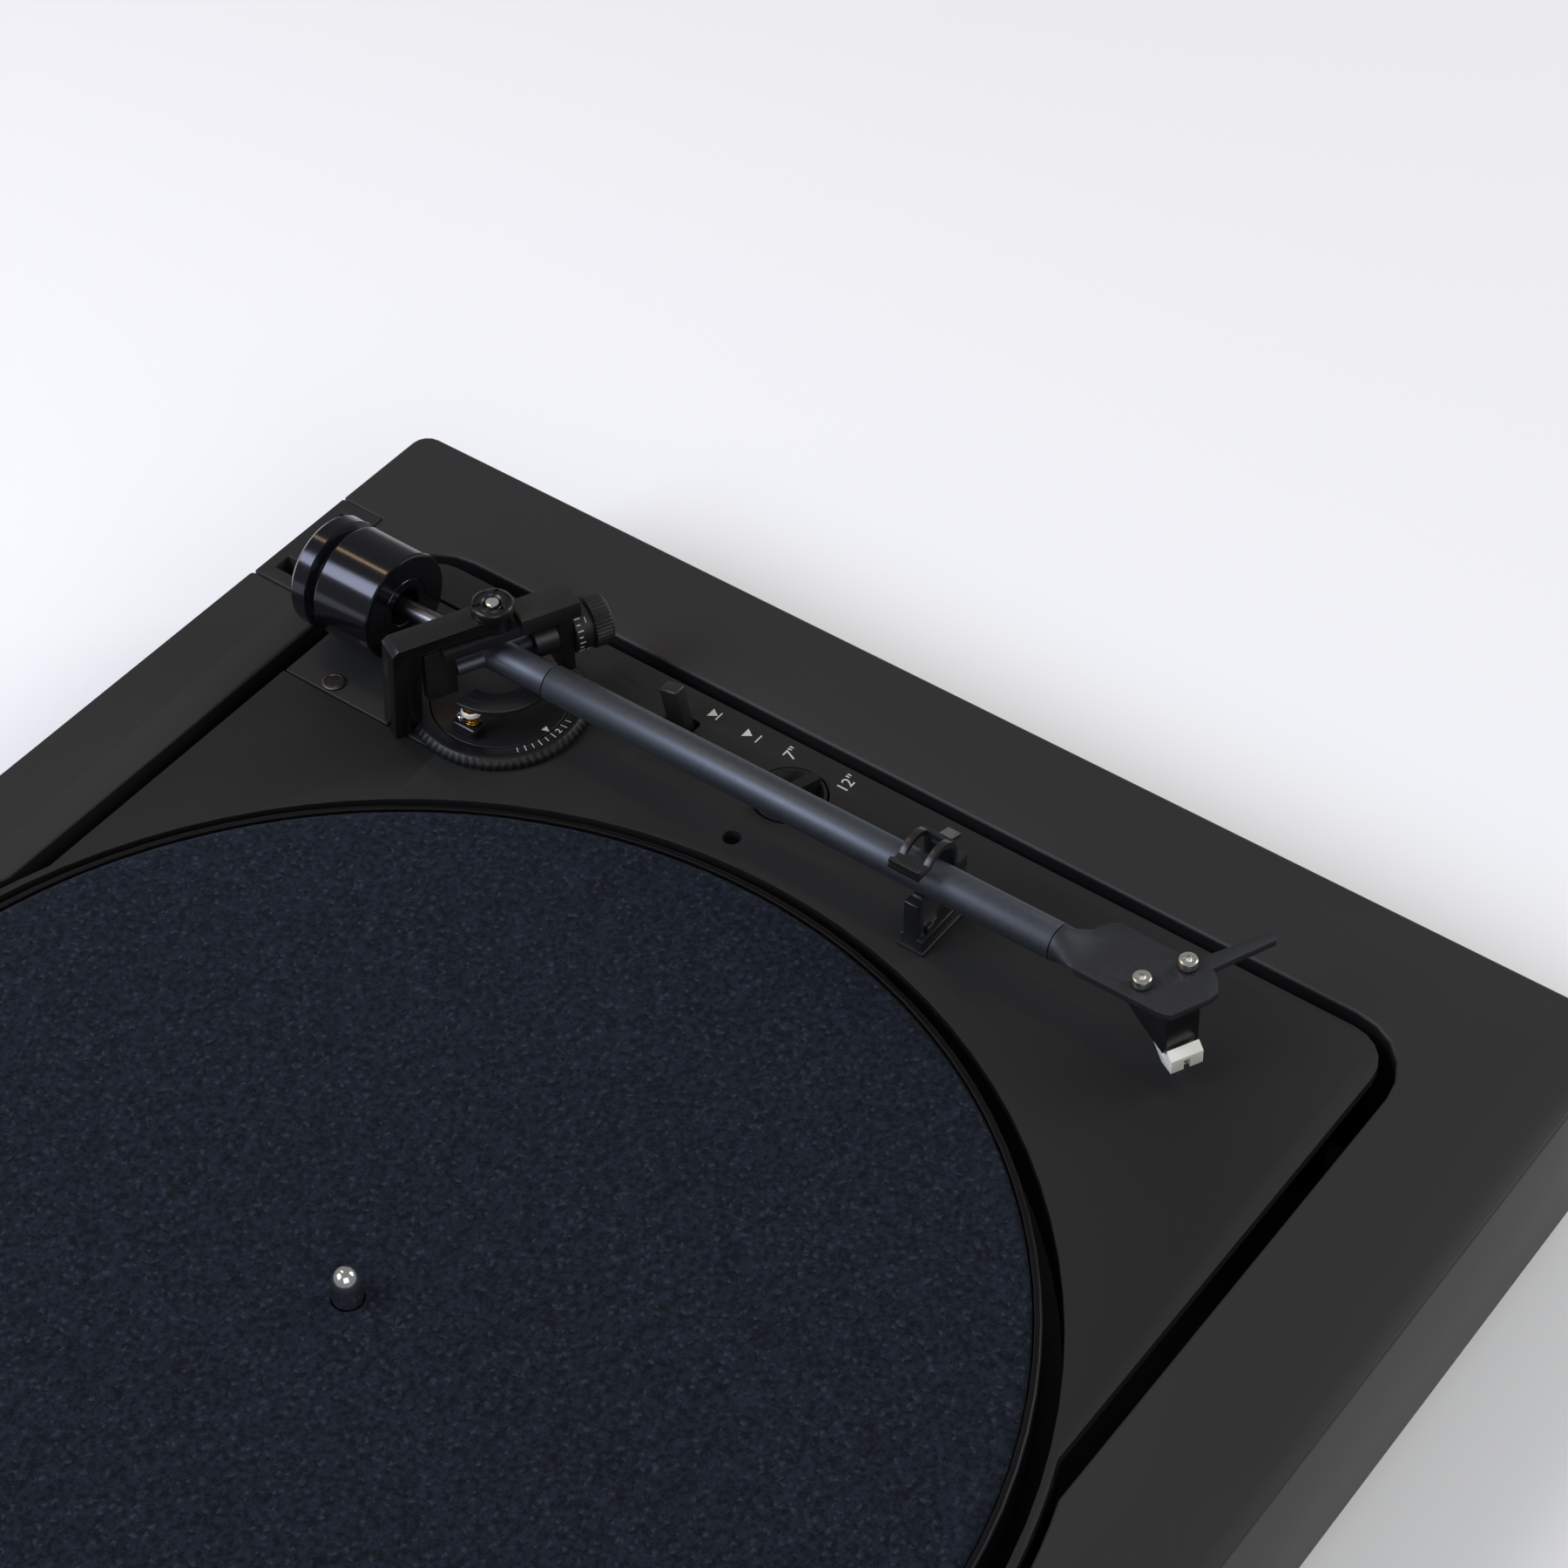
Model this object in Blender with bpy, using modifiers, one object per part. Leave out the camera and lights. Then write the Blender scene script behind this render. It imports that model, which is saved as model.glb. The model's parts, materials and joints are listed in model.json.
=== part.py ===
"""Belt-driven record player with a straight tonearm hung in a gimbal.

Sizes are in millimetres and become metres when a piece is made.  The origin
is the centre of the footprint at the bottom of the feet, +Z is up, the front
is towards -Y and the tonearm stands on the right, at +X.
"""
import math

import bmesh
import bpy
from mathutils import Matrix, Vector

MM = 0.001

# ---------------------------------------------------------------- driving dimensions
GAP = 0.3                      # left between two solids that touch

PLATTER_RADIUS = 150.0
PLATTER_OPENING_GAP = 4.65     # platter rim to the edge of the panel's opening
PANEL_MARGIN = 3.8             # opening to the panel's left edge
EDGE_OVERHANG = 8.85           # opening past the panel's straight front and rear edges
ARM_SIDE_MARGIN = 33.7         # arm pivot to the panel's right edge
PANEL_THICKNESS = 3.0
PANEL_CORNER = 13.0
OPENING_LIP = 2.0              # ring left round the opening at front and rear
SIDE_GAP = 4.15                # panel to frame, left and right
END_GAP = 5.5                  # panel to frame, front and rear
BULGE_GAP = 2.5                # panel's round lip to the frame
SIDE_STRIP = 32.86             # frame width left and right
REAR_STRIP = 26.3
FRONT_STRIP = 36.1
FRAME_CORNER = 5.0
FRAME_HEIGHT = 48.0
FOOT_HEIGHT = 12.0
FOOT_RADIUS = 19.0
BASE_THICKNESS = 2.5

WELL_DEPTH = 18.0
WELL_WALL = 1.5
PLATTER_TOP = 0.7              # heights above the panel
RIM_TOP = 3.2
PLATTER_WEB = 2.2
RIM_DEPTH = 14.0
RIM_WALL = 4.5
RIM_STEP = 2.0                 # rim left showing outside the mat
MAT_THICKNESS = 2.6
SPINDLE_RADIUS = 3.55
SPINDLE_TOP = 13.0
SPINDLE_BOTTOM = -35.0
BORE_CLEARANCE = 0.35
BEARING_WALL = 3.6
DRIVE_RADIUS = 64.0
PULLEY_RADIUS = 8.0
PULLEY_DISTANCE = 106.0
PULLEY_ANGLE = 205.0           # degrees, seen from the spindle
BELT_THICKNESS = 0.8
BELT_HEIGHT = 5.0
MOTOR_RADIUS = 20.0
MOTOR_HEIGHT = 20.0
CAM_RADIUS = 38.0
CAM_DISTANCE = 53.0
CAM_TEETH = 40

MOUNT_MARGIN = 38.0            # platter rim to the arm's vertical pivot
MOUNT_ANGLE = 29.43
PIVOT_HEIGHT = 18.4            # tube axis above the panel, at the pivot
ARM_HEADING = 0.63             # degrees the parked tube leans inwards from -Y
ARM_RISE = 1.235               # degrees the parked tube rises towards the head
HEAD_OFFSET = 27.0             # degrees between tube and cartridge
GIMBAL_SKEW = 26.5             # degrees between the lift axis and the X axis
TUBE_RADIUS = 4.65
TUBE_START = 18.0              # distances along the arm from the pivot
TUBE_END = 167.6
PLATE_TOP = 0.7                # head plate above the tube's axis
PLATE_BOTTOM = -1.1
HEAD_LEFT = -5.4               # side edges of the head plate
HEAD_RIGHT = 12.8
WEIGHT_RADIUS = 14.6
WEIGHT_FRONT = -30.0
WEIGHT_LENGTH = 26.0
WEIGHT_TRAVEL = 6.5            # left behind the rod for the weight to slide forwards
WEIGHT_BACK = 5.0
ROD_RADIUS = 2.3

RING_RADIUS = 23.05
RING_BORE = 17.9
RING_HEIGHT = 3.4
BRACKET_TOP = 33.0
BEAM_THICKNESS = 4.2
LEG_TOP = 25.3                 # gimbal legs hang below this height
LEG_BOTTOM = 9.0
LIFT_PLATE_RADIUS = 15.2
LIFT_PLATE_THICKNESS = 1.4
LIFT_PLATE_CLEARANCE = 1.0     # under the sleeve

REST_DISTANCE = 130.4          # rest in front of the pivot
REST_WIDTH = 20.0
REST_DEPTH = 6.4

LEVER_INSET, LEVER_Y = 11.45, 52.4      # controls, from the panel's right edge
LEVER_LEAN = 13.0
LEVER_DEPTH = 5.5
KNOB_INSET, KNOB_Y = 16.25, 15.4
KNOB_RADIUS = 9.3
ADJUST_INSET, ADJUST_Y, ADJUST_RADIUS = 35.95, 18.2, 2.4
SPEED_INSET, START_INSET = 19.0, 42.0   # from the panel's left edge

MOUNT_PLATE_HALF = 21.3        # arm mount plate, either side of the pivot
MOUNT_PLATE_GROOVE = 0.7
INSERT_HALF, INSERT_DEPTH, INSERT_HEIGHT = 17.5, 13.7, 22.0     # dust cover's hinge sockets
INSERT_INSET = 51.2
RECESS_HALF, RECESS_DEPTH = 70.0, 9.0   # socket recess in the rear face
RECESS_TOP, RECESS_BOTTOM = -12.0, -36.0
FOOT_INSET = 34.0
ISOLATOR_INSET = 16.0
CAM_ANGLE = 0.6                # radians, seen from the spindle
CHEEK_INNER, CHEEK = 2.6, 1.7  # latch cheeks, from the rest's middle plane
LATCH_OFFSET, LATCH_Z = 9.4, 19.8
CAP_TOP = 36.0                 # pivot cap above the panel
CARTRIDGE_DISTANCE = 202.0     # cartridge's front face in front of the pivot
SCREW_SETBACK = 10.1           # cartridge screws behind that face
SCREW_OFFSETS = (-5.3, 6.7)

# ---------------------------------------------------------------- derived places
OPENING_RADIUS = PLATTER_RADIUS + PLATTER_OPENING_GAP
MOUNT_DISTANCE = PLATTER_RADIUS + MOUNT_MARGIN
PIVOT_X = MOUNT_DISTANCE * math.cos(math.radians(MOUNT_ANGLE))
PIVOT_Y = MOUNT_DISTANCE * math.sin(math.radians(MOUNT_ANGLE))
BORE_RADIUS = SPINDLE_RADIUS + BORE_CLEARANCE
PANEL_HALF_DEPTH = OPENING_RADIUS - EDGE_OVERHANG
PANEL_RIGHT = PIVOT_X + ARM_SIDE_MARGIN
PANEL_LEFT = -(OPENING_RADIUS + PANEL_MARGIN)
INNER_LEFT = PANEL_LEFT - SIDE_GAP
INNER_RIGHT = PANEL_RIGHT + SIDE_GAP
INNER_HALF_DEPTH = PANEL_HALF_DEPTH + END_GAP
LIP_RADIUS = OPENING_RADIUS + OPENING_LIP
BULGE_RADIUS = LIP_RADIUS + BULGE_GAP
OUTER_LEFT = INNER_LEFT - SIDE_STRIP
OUTER_RIGHT = INNER_RIGHT + SIDE_STRIP
OUTER_REAR = INNER_HALF_DEPTH + REAR_STRIP
OUTER_FRONT = -INNER_HALF_DEPTH - FRONT_STRIP

SPINDLE = Vector((-(OUTER_LEFT + OUTER_RIGHT) / 2, -(OUTER_FRONT + OUTER_REAR) / 2,
                  FOOT_HEIGHT + FRAME_HEIGHT))
FRAME_BOTTOM = -FRAME_HEIGHT
LEVER_X = PANEL_RIGHT - LEVER_INSET
KNOB_X = PANEL_RIGHT - KNOB_INSET
SLEEVE_RADIUS = TUBE_RADIUS - 0.35
LIFT_PLATE_TOP = PIVOT_HEIGHT - SLEEVE_RADIUS - LIFT_PLATE_CLEARANCE
REST_X = PIVOT_X - REST_DISTANCE * math.sin(math.radians(ARM_HEADING))
REST_Y = PIVOT_Y - REST_DISTANCE
REST_AXIS_Z = PIVOT_HEIGHT + REST_DISTANCE * math.tan(math.radians(ARM_RISE))
SPEED_X, SPEED_Y = PANEL_LEFT + SPEED_INSET, -PANEL_HALF_DEPTH + 27.0
START_X, START_Y = PANEL_LEFT + START_INSET, -PANEL_HALF_DEPTH + 8.0
PULLEY_PLACE = (PULLEY_DISTANCE * math.cos(math.radians(PULLEY_ANGLE)),
                PULLEY_DISTANCE * math.sin(math.radians(PULLEY_ANGLE)))
CAM_PLACE = (CAM_DISTANCE * math.cos(CAM_ANGLE), CAM_DISTANCE * math.sin(CAM_ANGLE))
LATCH_X = REST_X + LATCH_OFFSET
MOUNT_PLATE_FRONT = PIVOT_Y + 4.0
INSERT_CENTRES = {"left": OUTER_LEFT + INSERT_INSET, "right": OUTER_RIGHT - INSERT_INSET}

# Frames of reference: the spindle at panel height, the gimbal (X along the lift
# axis), the arm (X along the tube towards the head, Y away from the platter), the
# same arm with Z along the tube for turned pieces, and the cartridge (origin at
# the middle of its front face, X forwards).
DECK = Matrix.Translation(SPINDLE)
GIMBAL = (DECK @ Matrix.Translation((PIVOT_X, PIVOT_Y, PIVOT_HEIGHT))
          @ Matrix.Rotation(math.radians(-GIMBAL_SKEW), 4, "Z"))
ARM = (DECK @ Matrix.Translation((PIVOT_X, PIVOT_Y, PIVOT_HEIGHT))
       @ Matrix.Rotation(math.radians(-90 - ARM_HEADING), 4, "Z")
       @ Matrix.Rotation(math.radians(-ARM_RISE), 4, "Y"))
TURN_ALONG = ARM @ Matrix.Rotation(math.pi / 2, 4, "Y")
CART = (ARM @ Matrix.Translation((CARTRIDGE_DISTANCE, -0.2, 0))
        @ Matrix.Rotation(math.radians(-HEAD_OFFSET), 4, "Z"))
PIVOT = DECK @ Matrix.Translation((PIVOT_X, PIVOT_Y, 0))

for leftover in list(bpy.data.objects):
    bpy.data.objects.remove(leftover, do_unlink=True)

PARTS = bpy.data.collections.new("record_player")
CUTTERS = bpy.data.collections.new("cutters")
bpy.context.scene.collection.children.link(PARTS)
bpy.context.scene.collection.children.link(CUTTERS)


def paint(name, colour, roughness, metallic=0.0):
    material = bpy.data.materials.new(name)
    material.use_nodes = True
    shader = material.node_tree.nodes["Principled BSDF"]
    shader.inputs["Base Color"].default_value = (*colour, 1.0)
    shader.inputs["Roughness"].default_value = roughness
    shader.inputs["Metallic"].default_value = metallic
    return material


MATT_BLACK = paint("matt_black_plastic", (0.030, 0.030, 0.031), 0.55)
FRAME_BLACK = paint("satin_black_lacquer", (0.034, 0.034, 0.035), 0.5)
GLOSS_BLACK = paint("gloss_black_plastic", (0.010, 0.010, 0.012), 0.18)
ANODISED = paint("black_anodised_metal", (0.035, 0.037, 0.045), 0.3, 0.8)
ALUMINIUM = paint("turned_aluminium", (0.62, 0.63, 0.65), 0.3, 1.0)
STEEL = paint("bright_steel", (0.70, 0.70, 0.72), 0.2, 1.0)
BRASS = paint("brass", (0.78, 0.55, 0.22), 0.28, 1.0)
FELT = paint("dark_felt", (0.020, 0.024, 0.034), 0.95)
RUBBER = paint("black_rubber", (0.018, 0.018, 0.018), 0.8)
WHITE = paint("white_plastic", (0.80, 0.80, 0.78), 0.4)
GREEN_BOARD = paint("circuit_board", (0.02, 0.16, 0.07), 0.5)


# ---------------------------------------------------------------- modelling helpers
def add(name, mesh, material, frame=DECK, collection=PARTS):
    """Link a mesh built in millimetres as an object standing in the given frame."""
    mesh.transform(Matrix.Scale(MM, 4))
    mesh.materials.append(material)
    piece = bpy.data.objects.new(name, mesh)
    collection.objects.link(piece)
    place = frame.copy()
    place.translation = place.translation * MM
    piece.matrix_world = place
    return piece


def box(name, low, high, material, frame=DECK, collection=PARTS, bevel=0.0):
    mesh = bpy.data.meshes.new(name)
    body = bmesh.new()
    bmesh.ops.create_cube(body, size=1.0)
    size = Vector(high) - Vector(low)
    centre = (Vector(high) + Vector(low)) / 2
    for vertex in body.verts:
        vertex.co = Vector(a * b for a, b in zip(vertex.co, size)) + centre
    body.to_mesh(mesh)
    body.free()
    piece = add(name, mesh, material, frame, collection)
    if bevel:
        edge = piece.modifiers.new("bevel", "BEVEL")
        edge.width = bevel * MM
        edge.segments = 1
    return piece


def cylinder(name, radius, start, end, material, frame=DECK, collection=PARTS, sides=24, top=None):
    """A round bar, or a cone when top is given, between two points."""
    start, end = Vector(start), Vector(end)
    mesh = bpy.data.meshes.new(name)
    body = bmesh.new()
    bmesh.ops.create_cone(body, cap_ends=True, segments=sides, radius1=radius,
                          radius2=radius if top is None else top, depth=(end - start).length)
    turn = (end - start).to_track_quat("Z", "Y").to_matrix().to_4x4()
    body.transform(Matrix.Translation((start + end) / 2) @ turn)
    body.to_mesh(mesh)
    body.free()
    return add(name, mesh, material, frame, collection)


def turned(name, profile, material, frame=DECK, sides=48, collection=PARTS):
    """A turned piece; the profile's (radius, height) points run down the outer side."""
    mesh = bpy.data.meshes.new(name)
    points = [(radius, 0.0, height) for radius, height in profile]
    edges = [(i, i + 1) for i in range(len(points) - 1)]
    if profile[0][0] > 0 and profile[-1][0] > 0:
        edges.append((len(points) - 1, 0))
    mesh.from_pydata(points, edges, [])
    piece = add(name, mesh, material, frame, collection)
    screw = piece.modifiers.new("turn", "SCREW")
    screw.steps = screw.render_steps = sides
    screw.use_merge_vertices = True
    screw.merge_threshold = 0.00001
    return piece


def slab(name, outlines, low, high, material, frame=DECK, collection=PARTS):
    """Flat outlines, the first outside and the others holes, given a thickness."""
    curve = bpy.data.curves.new(name + "_outline", "CURVE")
    curve.dimensions = "2D"
    curve.fill_mode = "BOTH"
    curve.resolution_u = 1
    curve.render_resolution_u = 0
    curve.extrude = (high - low) / 2
    for outline in outlines:
        spline = curve.splines.new("POLY")
        spline.points.add(len(outline) - 1)
        for point, (x, y) in zip(spline.points, outline):
            point.co = (x, y, 0.0, 1.0)
        spline.use_cyclic_u = True
    guide = bpy.data.objects.new(name + "_outline", curve)
    CUTTERS.objects.link(guide)
    bpy.context.view_layer.update()
    shape = guide.evaluated_get(bpy.context.evaluated_depsgraph_get())
    mesh = bpy.data.meshes.new_from_object(shape)
    bpy.data.objects.remove(guide, do_unlink=True)
    body = bmesh.new()
    body.from_mesh(mesh)
    bmesh.ops.remove_doubles(body, verts=body.verts, dist=0.0005)
    bmesh.ops.translate(body, verts=body.verts, vec=(0, 0, (low + high) / 2))
    bmesh.ops.recalc_face_normals(body, faces=body.faces)
    body.to_mesh(mesh)
    body.free()
    mesh.name = name
    mesh.materials.clear()
    return add(name, mesh, material, frame, collection)


def combine(piece, tools, operation):
    """Cut the tools out of a piece, or join them to it, and hide the tools."""
    for tool in tools:
        if tool.name in PARTS.objects:
            PARTS.objects.unlink(tool)
            CUTTERS.objects.link(tool)
        tool.hide_render = True
        tool.display_type = "WIRE"
        boolean = piece.modifiers.new(operation.lower(), "BOOLEAN")
        boolean.operation = operation
        boolean.solver = "EXACT"
        boolean.object = tool
    return piece


def arc(centre, radius, start, end, steps):
    """Points on an arc; angles in degrees, counted anticlockwise."""
    span = [math.radians(start + (end - start) * i / steps) for i in range(steps + 1)]
    return [(centre[0] + radius * math.cos(a), centre[1] + radius * math.sin(a)) for a in span]


def circle(centre, radius, sides):
    return arc(centre, radius, 0, 360 * (sides - 1) / sides, sides - 1)


def rounded(left, right, front, rear, corner, steps=4):
    """A rectangle with round corners, anticlockwise."""
    return (arc((right - corner, front + corner), corner, -90, 0, steps)
            + arc((right - corner, rear - corner), corner, 0, 90, steps)
            + arc((left + corner, rear - corner), corner, 90, 180, steps)
            + arc((left + corner, front + corner), corner, 180, 270, steps))


def bulged(left, right, half_depth, corner, bulge, notch=()):
    """A round-cornered rectangle that swells where a circle passes its long edges."""
    reach = math.degrees(math.asin(half_depth / bulge))
    return (arc((0, 0), bulge, -180 + reach, -reach, 16)
            + arc((right - corner, -half_depth + corner), corner, -90, 0, 5)
            + arc((right - corner, half_depth - corner), corner, 0, 90, 5)
            + list(notch)
            + arc((0, 0), bulge, reach, 180 - reach, 16)
            + arc((left + corner, half_depth - corner), corner, 90, 180, 5)
            + arc((left + corner, -half_depth + corner), corner, 180, 270, 5))


# ---------------------------------------------------------------- plinth
def plinth():
    opening = bulged(INNER_LEFT, INNER_RIGHT, INNER_HALF_DEPTH, PANEL_CORNER + END_GAP, BULGE_RADIUS)
    outer = rounded(OUTER_LEFT, OUTER_RIGHT, OUTER_FRONT, OUTER_REAR, FRAME_CORNER)
    frame = slab("plinth_frame", [outer, opening], FRAME_BOTTOM, 0.0, FRAME_BLACK)
    cuts = []
    for side, x in INSERT_CENTRES.items():
        cuts.append(box("cut_insert_" + side, (x - INSERT_HALF - GAP, OUTER_REAR - INSERT_DEPTH - GAP,
                                               -INSERT_HEIGHT - GAP),
                        (x + INSERT_HALF + GAP, OUTER_REAR + 5, 5), MATT_BLACK, collection=CUTTERS))
    middle = (OUTER_LEFT + OUTER_RIGHT) / 2
    cuts.append(box("cut_sockets", (middle - RECESS_HALF, OUTER_REAR - RECESS_DEPTH, RECESS_BOTTOM),
                    (middle + RECESS_HALF, OUTER_REAR + 5, RECESS_TOP), MATT_BLACK, collection=CUTTERS))
    combine(frame, cuts, "DIFFERENCE")

    inset = 1.5
    box("bottom_plate", (OUTER_LEFT + inset, OUTER_FRONT + inset, FRAME_BOTTOM - GAP - BASE_THICKNESS),
        (OUTER_RIGHT - inset, OUTER_REAR - inset, FRAME_BOTTOM - GAP), MATT_BLACK)

    base_under = FRAME_BOTTOM - 2 * GAP - BASE_THICKNESS
    foot_bottom = FRAME_BOTTOM - FOOT_HEIGHT
    for end, y in (("front", OUTER_FRONT + FOOT_INSET), ("rear", OUTER_REAR - FOOT_INSET)):
        for side, x in (("left", OUTER_LEFT + FOOT_INSET), ("right", OUTER_RIGHT - FOOT_INSET)):
            turned("foot_%s_%s" % (end, side),
                   [(0, base_under), (FOOT_RADIUS - 3, base_under), (FOOT_RADIUS, foot_bottom + 4),
                    (FOOT_RADIUS - 1, foot_bottom), (0, foot_bottom)],
                   RUBBER, DECK @ Matrix.Translation((x, y, 0)), sides=28)

    for side, x in INSERT_CENTRES.items():
        insert = box("hinge_socket_" + side, (x - INSERT_HALF, OUTER_REAR - INSERT_DEPTH, -INSERT_HEIGHT),
                     (x + INSERT_HALF, OUTER_REAR - 0.2, 0.0), MATT_BLACK)
        slots = [box("cut_slot_%s_%d" % (side, i), (x + dx - 2.6, OUTER_REAR - INSERT_DEPTH + 4, -15),
                     (x + dx + 2.6, OUTER_REAR - 3.5, 4), MATT_BLACK, collection=CUTTERS)
                 for i, dx in enumerate((-10.5, 10.5))]
        combine(insert, slots, "DIFFERENCE")

    panel_back = OUTER_REAR - RECESS_DEPTH + GAP
    panel_front = panel_back + 2.0
    box("socket_panel", (middle - RECESS_HALF + GAP, panel_back, RECESS_BOTTOM + GAP),
        (middle + RECESS_HALF - GAP, panel_front, RECESS_TOP - GAP), MATT_BLACK)
    rear = (DECK @ Matrix.Translation((middle, panel_front + GAP, (RECESS_TOP + RECESS_BOTTOM) / 2))
            @ Matrix.Rotation(-math.pi / 2, 4, "X"))
    cups = []
    for i, x in enumerate((44.0, 58.0)):
        cups.append(turned("audio_socket_%d" % i, [(4.2, 5.2), (4.2, 1.5), (5.6, 1.5), (5.6, 0.0), (1.8, 0.0),
                                                   (1.8, 5.2)],
                           STEEL, rear @ Matrix.Translation((x, 0, 0)), sides=20))
    bridge = box("audio_bar", (46.5, -1.5, 0.2), (55.5, 1.5, 1.0), STEEL, rear)
    combine(cups[0], [cups[1], bridge], "UNION")
    cups[0].name = "audio_sockets"
    turned("ground_terminal", [(0, 5.2), (3.2, 5.2), (3.2, 2.0), (1.6, 2.0), (1.6, 0.0), (0, 0.0)], STEEL,
           rear @ Matrix.Translation((28, 0, 0)), sides=18)
    turned("power_inlet", [(4.4, 4.6), (4.4, 0.0), (1.4, 0.0), (1.4, 4.6)], MATT_BLACK,
           rear @ Matrix.Translation((-54, 0, 0)), sides=20)


plinth()


# ---------------------------------------------------------------- floating sub-chassis
def subchassis():
    notch = [(PIVOT_X + MOUNT_PLATE_HALF + MOUNT_PLATE_GROOVE, PANEL_HALF_DEPTH),
             (PIVOT_X + MOUNT_PLATE_HALF + MOUNT_PLATE_GROOVE, MOUNT_PLATE_FRONT - MOUNT_PLATE_GROOVE),
             (PIVOT_X - MOUNT_PLATE_HALF - MOUNT_PLATE_GROOVE, MOUNT_PLATE_FRONT - MOUNT_PLATE_GROOVE),
             (PIVOT_X - MOUNT_PLATE_HALF - MOUNT_PLATE_GROOVE, PANEL_HALF_DEPTH)]
    corner = min(PANEL_CORNER, PANEL_RIGHT - PIVOT_X - MOUNT_PLATE_HALF - MOUNT_PLATE_GROOVE - 0.5)
    outline = bulged(PANEL_LEFT, PANEL_RIGHT, PANEL_HALF_DEPTH, corner, LIP_RADIUS, notch)
    holes = [circle((0, 0), OPENING_RADIUS, 96), circle((KNOB_X, KNOB_Y), KNOB_RADIUS + 0.6, 28),
             circle((PANEL_RIGHT - ADJUST_INSET, ADJUST_Y), ADJUST_RADIUS, 14),
             rounded(LEVER_X - 2.7, LEVER_X + 2.7, LEVER_Y - LEVER_DEPTH / 2 - 1.6,
                     LEVER_Y + LEVER_DEPTH / 2 + 1.6, 1.0, 2),
             circle((SPEED_X, SPEED_Y), 4.0, 16),
             rounded(START_X - 13.0, START_X + 13.0, START_Y - 1.6, START_Y + 1.6, 1.0, 2)]
    slab("chassis_panel", [outline] + holes, -PANEL_THICKNESS, 0.0, MATT_BLACK)

    box("arm_mount_plate", (PIVOT_X - MOUNT_PLATE_HALF, MOUNT_PLATE_FRONT, -PANEL_THICKNESS),
        (PIVOT_X + MOUNT_PLATE_HALF, PANEL_HALF_DEPTH, -0.1), MATT_BLACK)
    turned("mount_plate_screw", [(0, 0.5), (2.6, 0.5), (3.0, 0.2), (0, 0.2)], STEEL,
           DECK @ Matrix.Translation((PIVOT_X - 17.8, PIVOT_Y + 40.1, 0)), sides=20)

    under = -PANEL_THICKNESS - GAP
    floor = -WELL_DEPTH + WELL_WALL
    well_hole = BORE_RADIUS + BEARING_WALL + 0.5
    well = turned("platter_well", [(LIP_RADIUS, under), (LIP_RADIUS, -WELL_DEPTH), (well_hole, -WELL_DEPTH),
                                   (well_hole, floor), (LIP_RADIUS - WELL_WALL, floor),
                                   (LIP_RADIUS - WELL_WALL, under)], ANODISED, sides=72)
    combine(well, [cylinder("cut_motor_boss", 6.0, (*PULLEY_PLACE, -WELL_DEPTH - 3), (*PULLEY_PLACE, -10), MATT_BLACK,
                            collection=CUTTERS)], "DIFFERENCE")

    for end, y in (("front", -PANEL_HALF_DEPTH + ISOLATOR_INSET), ("rear", PANEL_HALF_DEPTH - ISOLATOR_INSET)):
        for side, x in (("left", PANEL_LEFT + ISOLATOR_INSET), ("right", PANEL_RIGHT - ISOLATOR_INSET / 2)):
            turned("isolator_%s_%s" % (end, side),
                   [(5.5, under), (5.5, FRAME_BOTTOM), (3.0, FRAME_BOTTOM), (3.0, under)],
                   RUBBER, DECK @ Matrix.Translation((x, y, 0)), sides=16)

    housing = BORE_RADIUS + BEARING_WALL
    housing_top = floor + 1.2
    housing_bottom, thrust_pad = SPINDLE_BOTTOM - 3.0, SPINDLE_BOTTOM - 1.0
    turned("bearing_housing", [(housing, housing_top), (housing, housing_bottom), (0, housing_bottom),
                               (0, thrust_pad), (BORE_RADIUS, thrust_pad), (BORE_RADIUS, housing_top)],
           STEEL, sides=32)
    motor_top = -WELL_DEPTH - GAP
    turned("motor", [(0, motor_top), (MOTOR_RADIUS, motor_top), (MOTOR_RADIUS, motor_top - MOTOR_HEIGHT),
                     (0, motor_top - MOTOR_HEIGHT)], ANODISED, DECK @ Matrix.Translation((*PULLEY_PLACE, 0)),
           sides=32)
    box("circuit_board", (60, -60, -30), (130, 10, -28.4), GREEN_BOARD)


subchassis()


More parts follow.
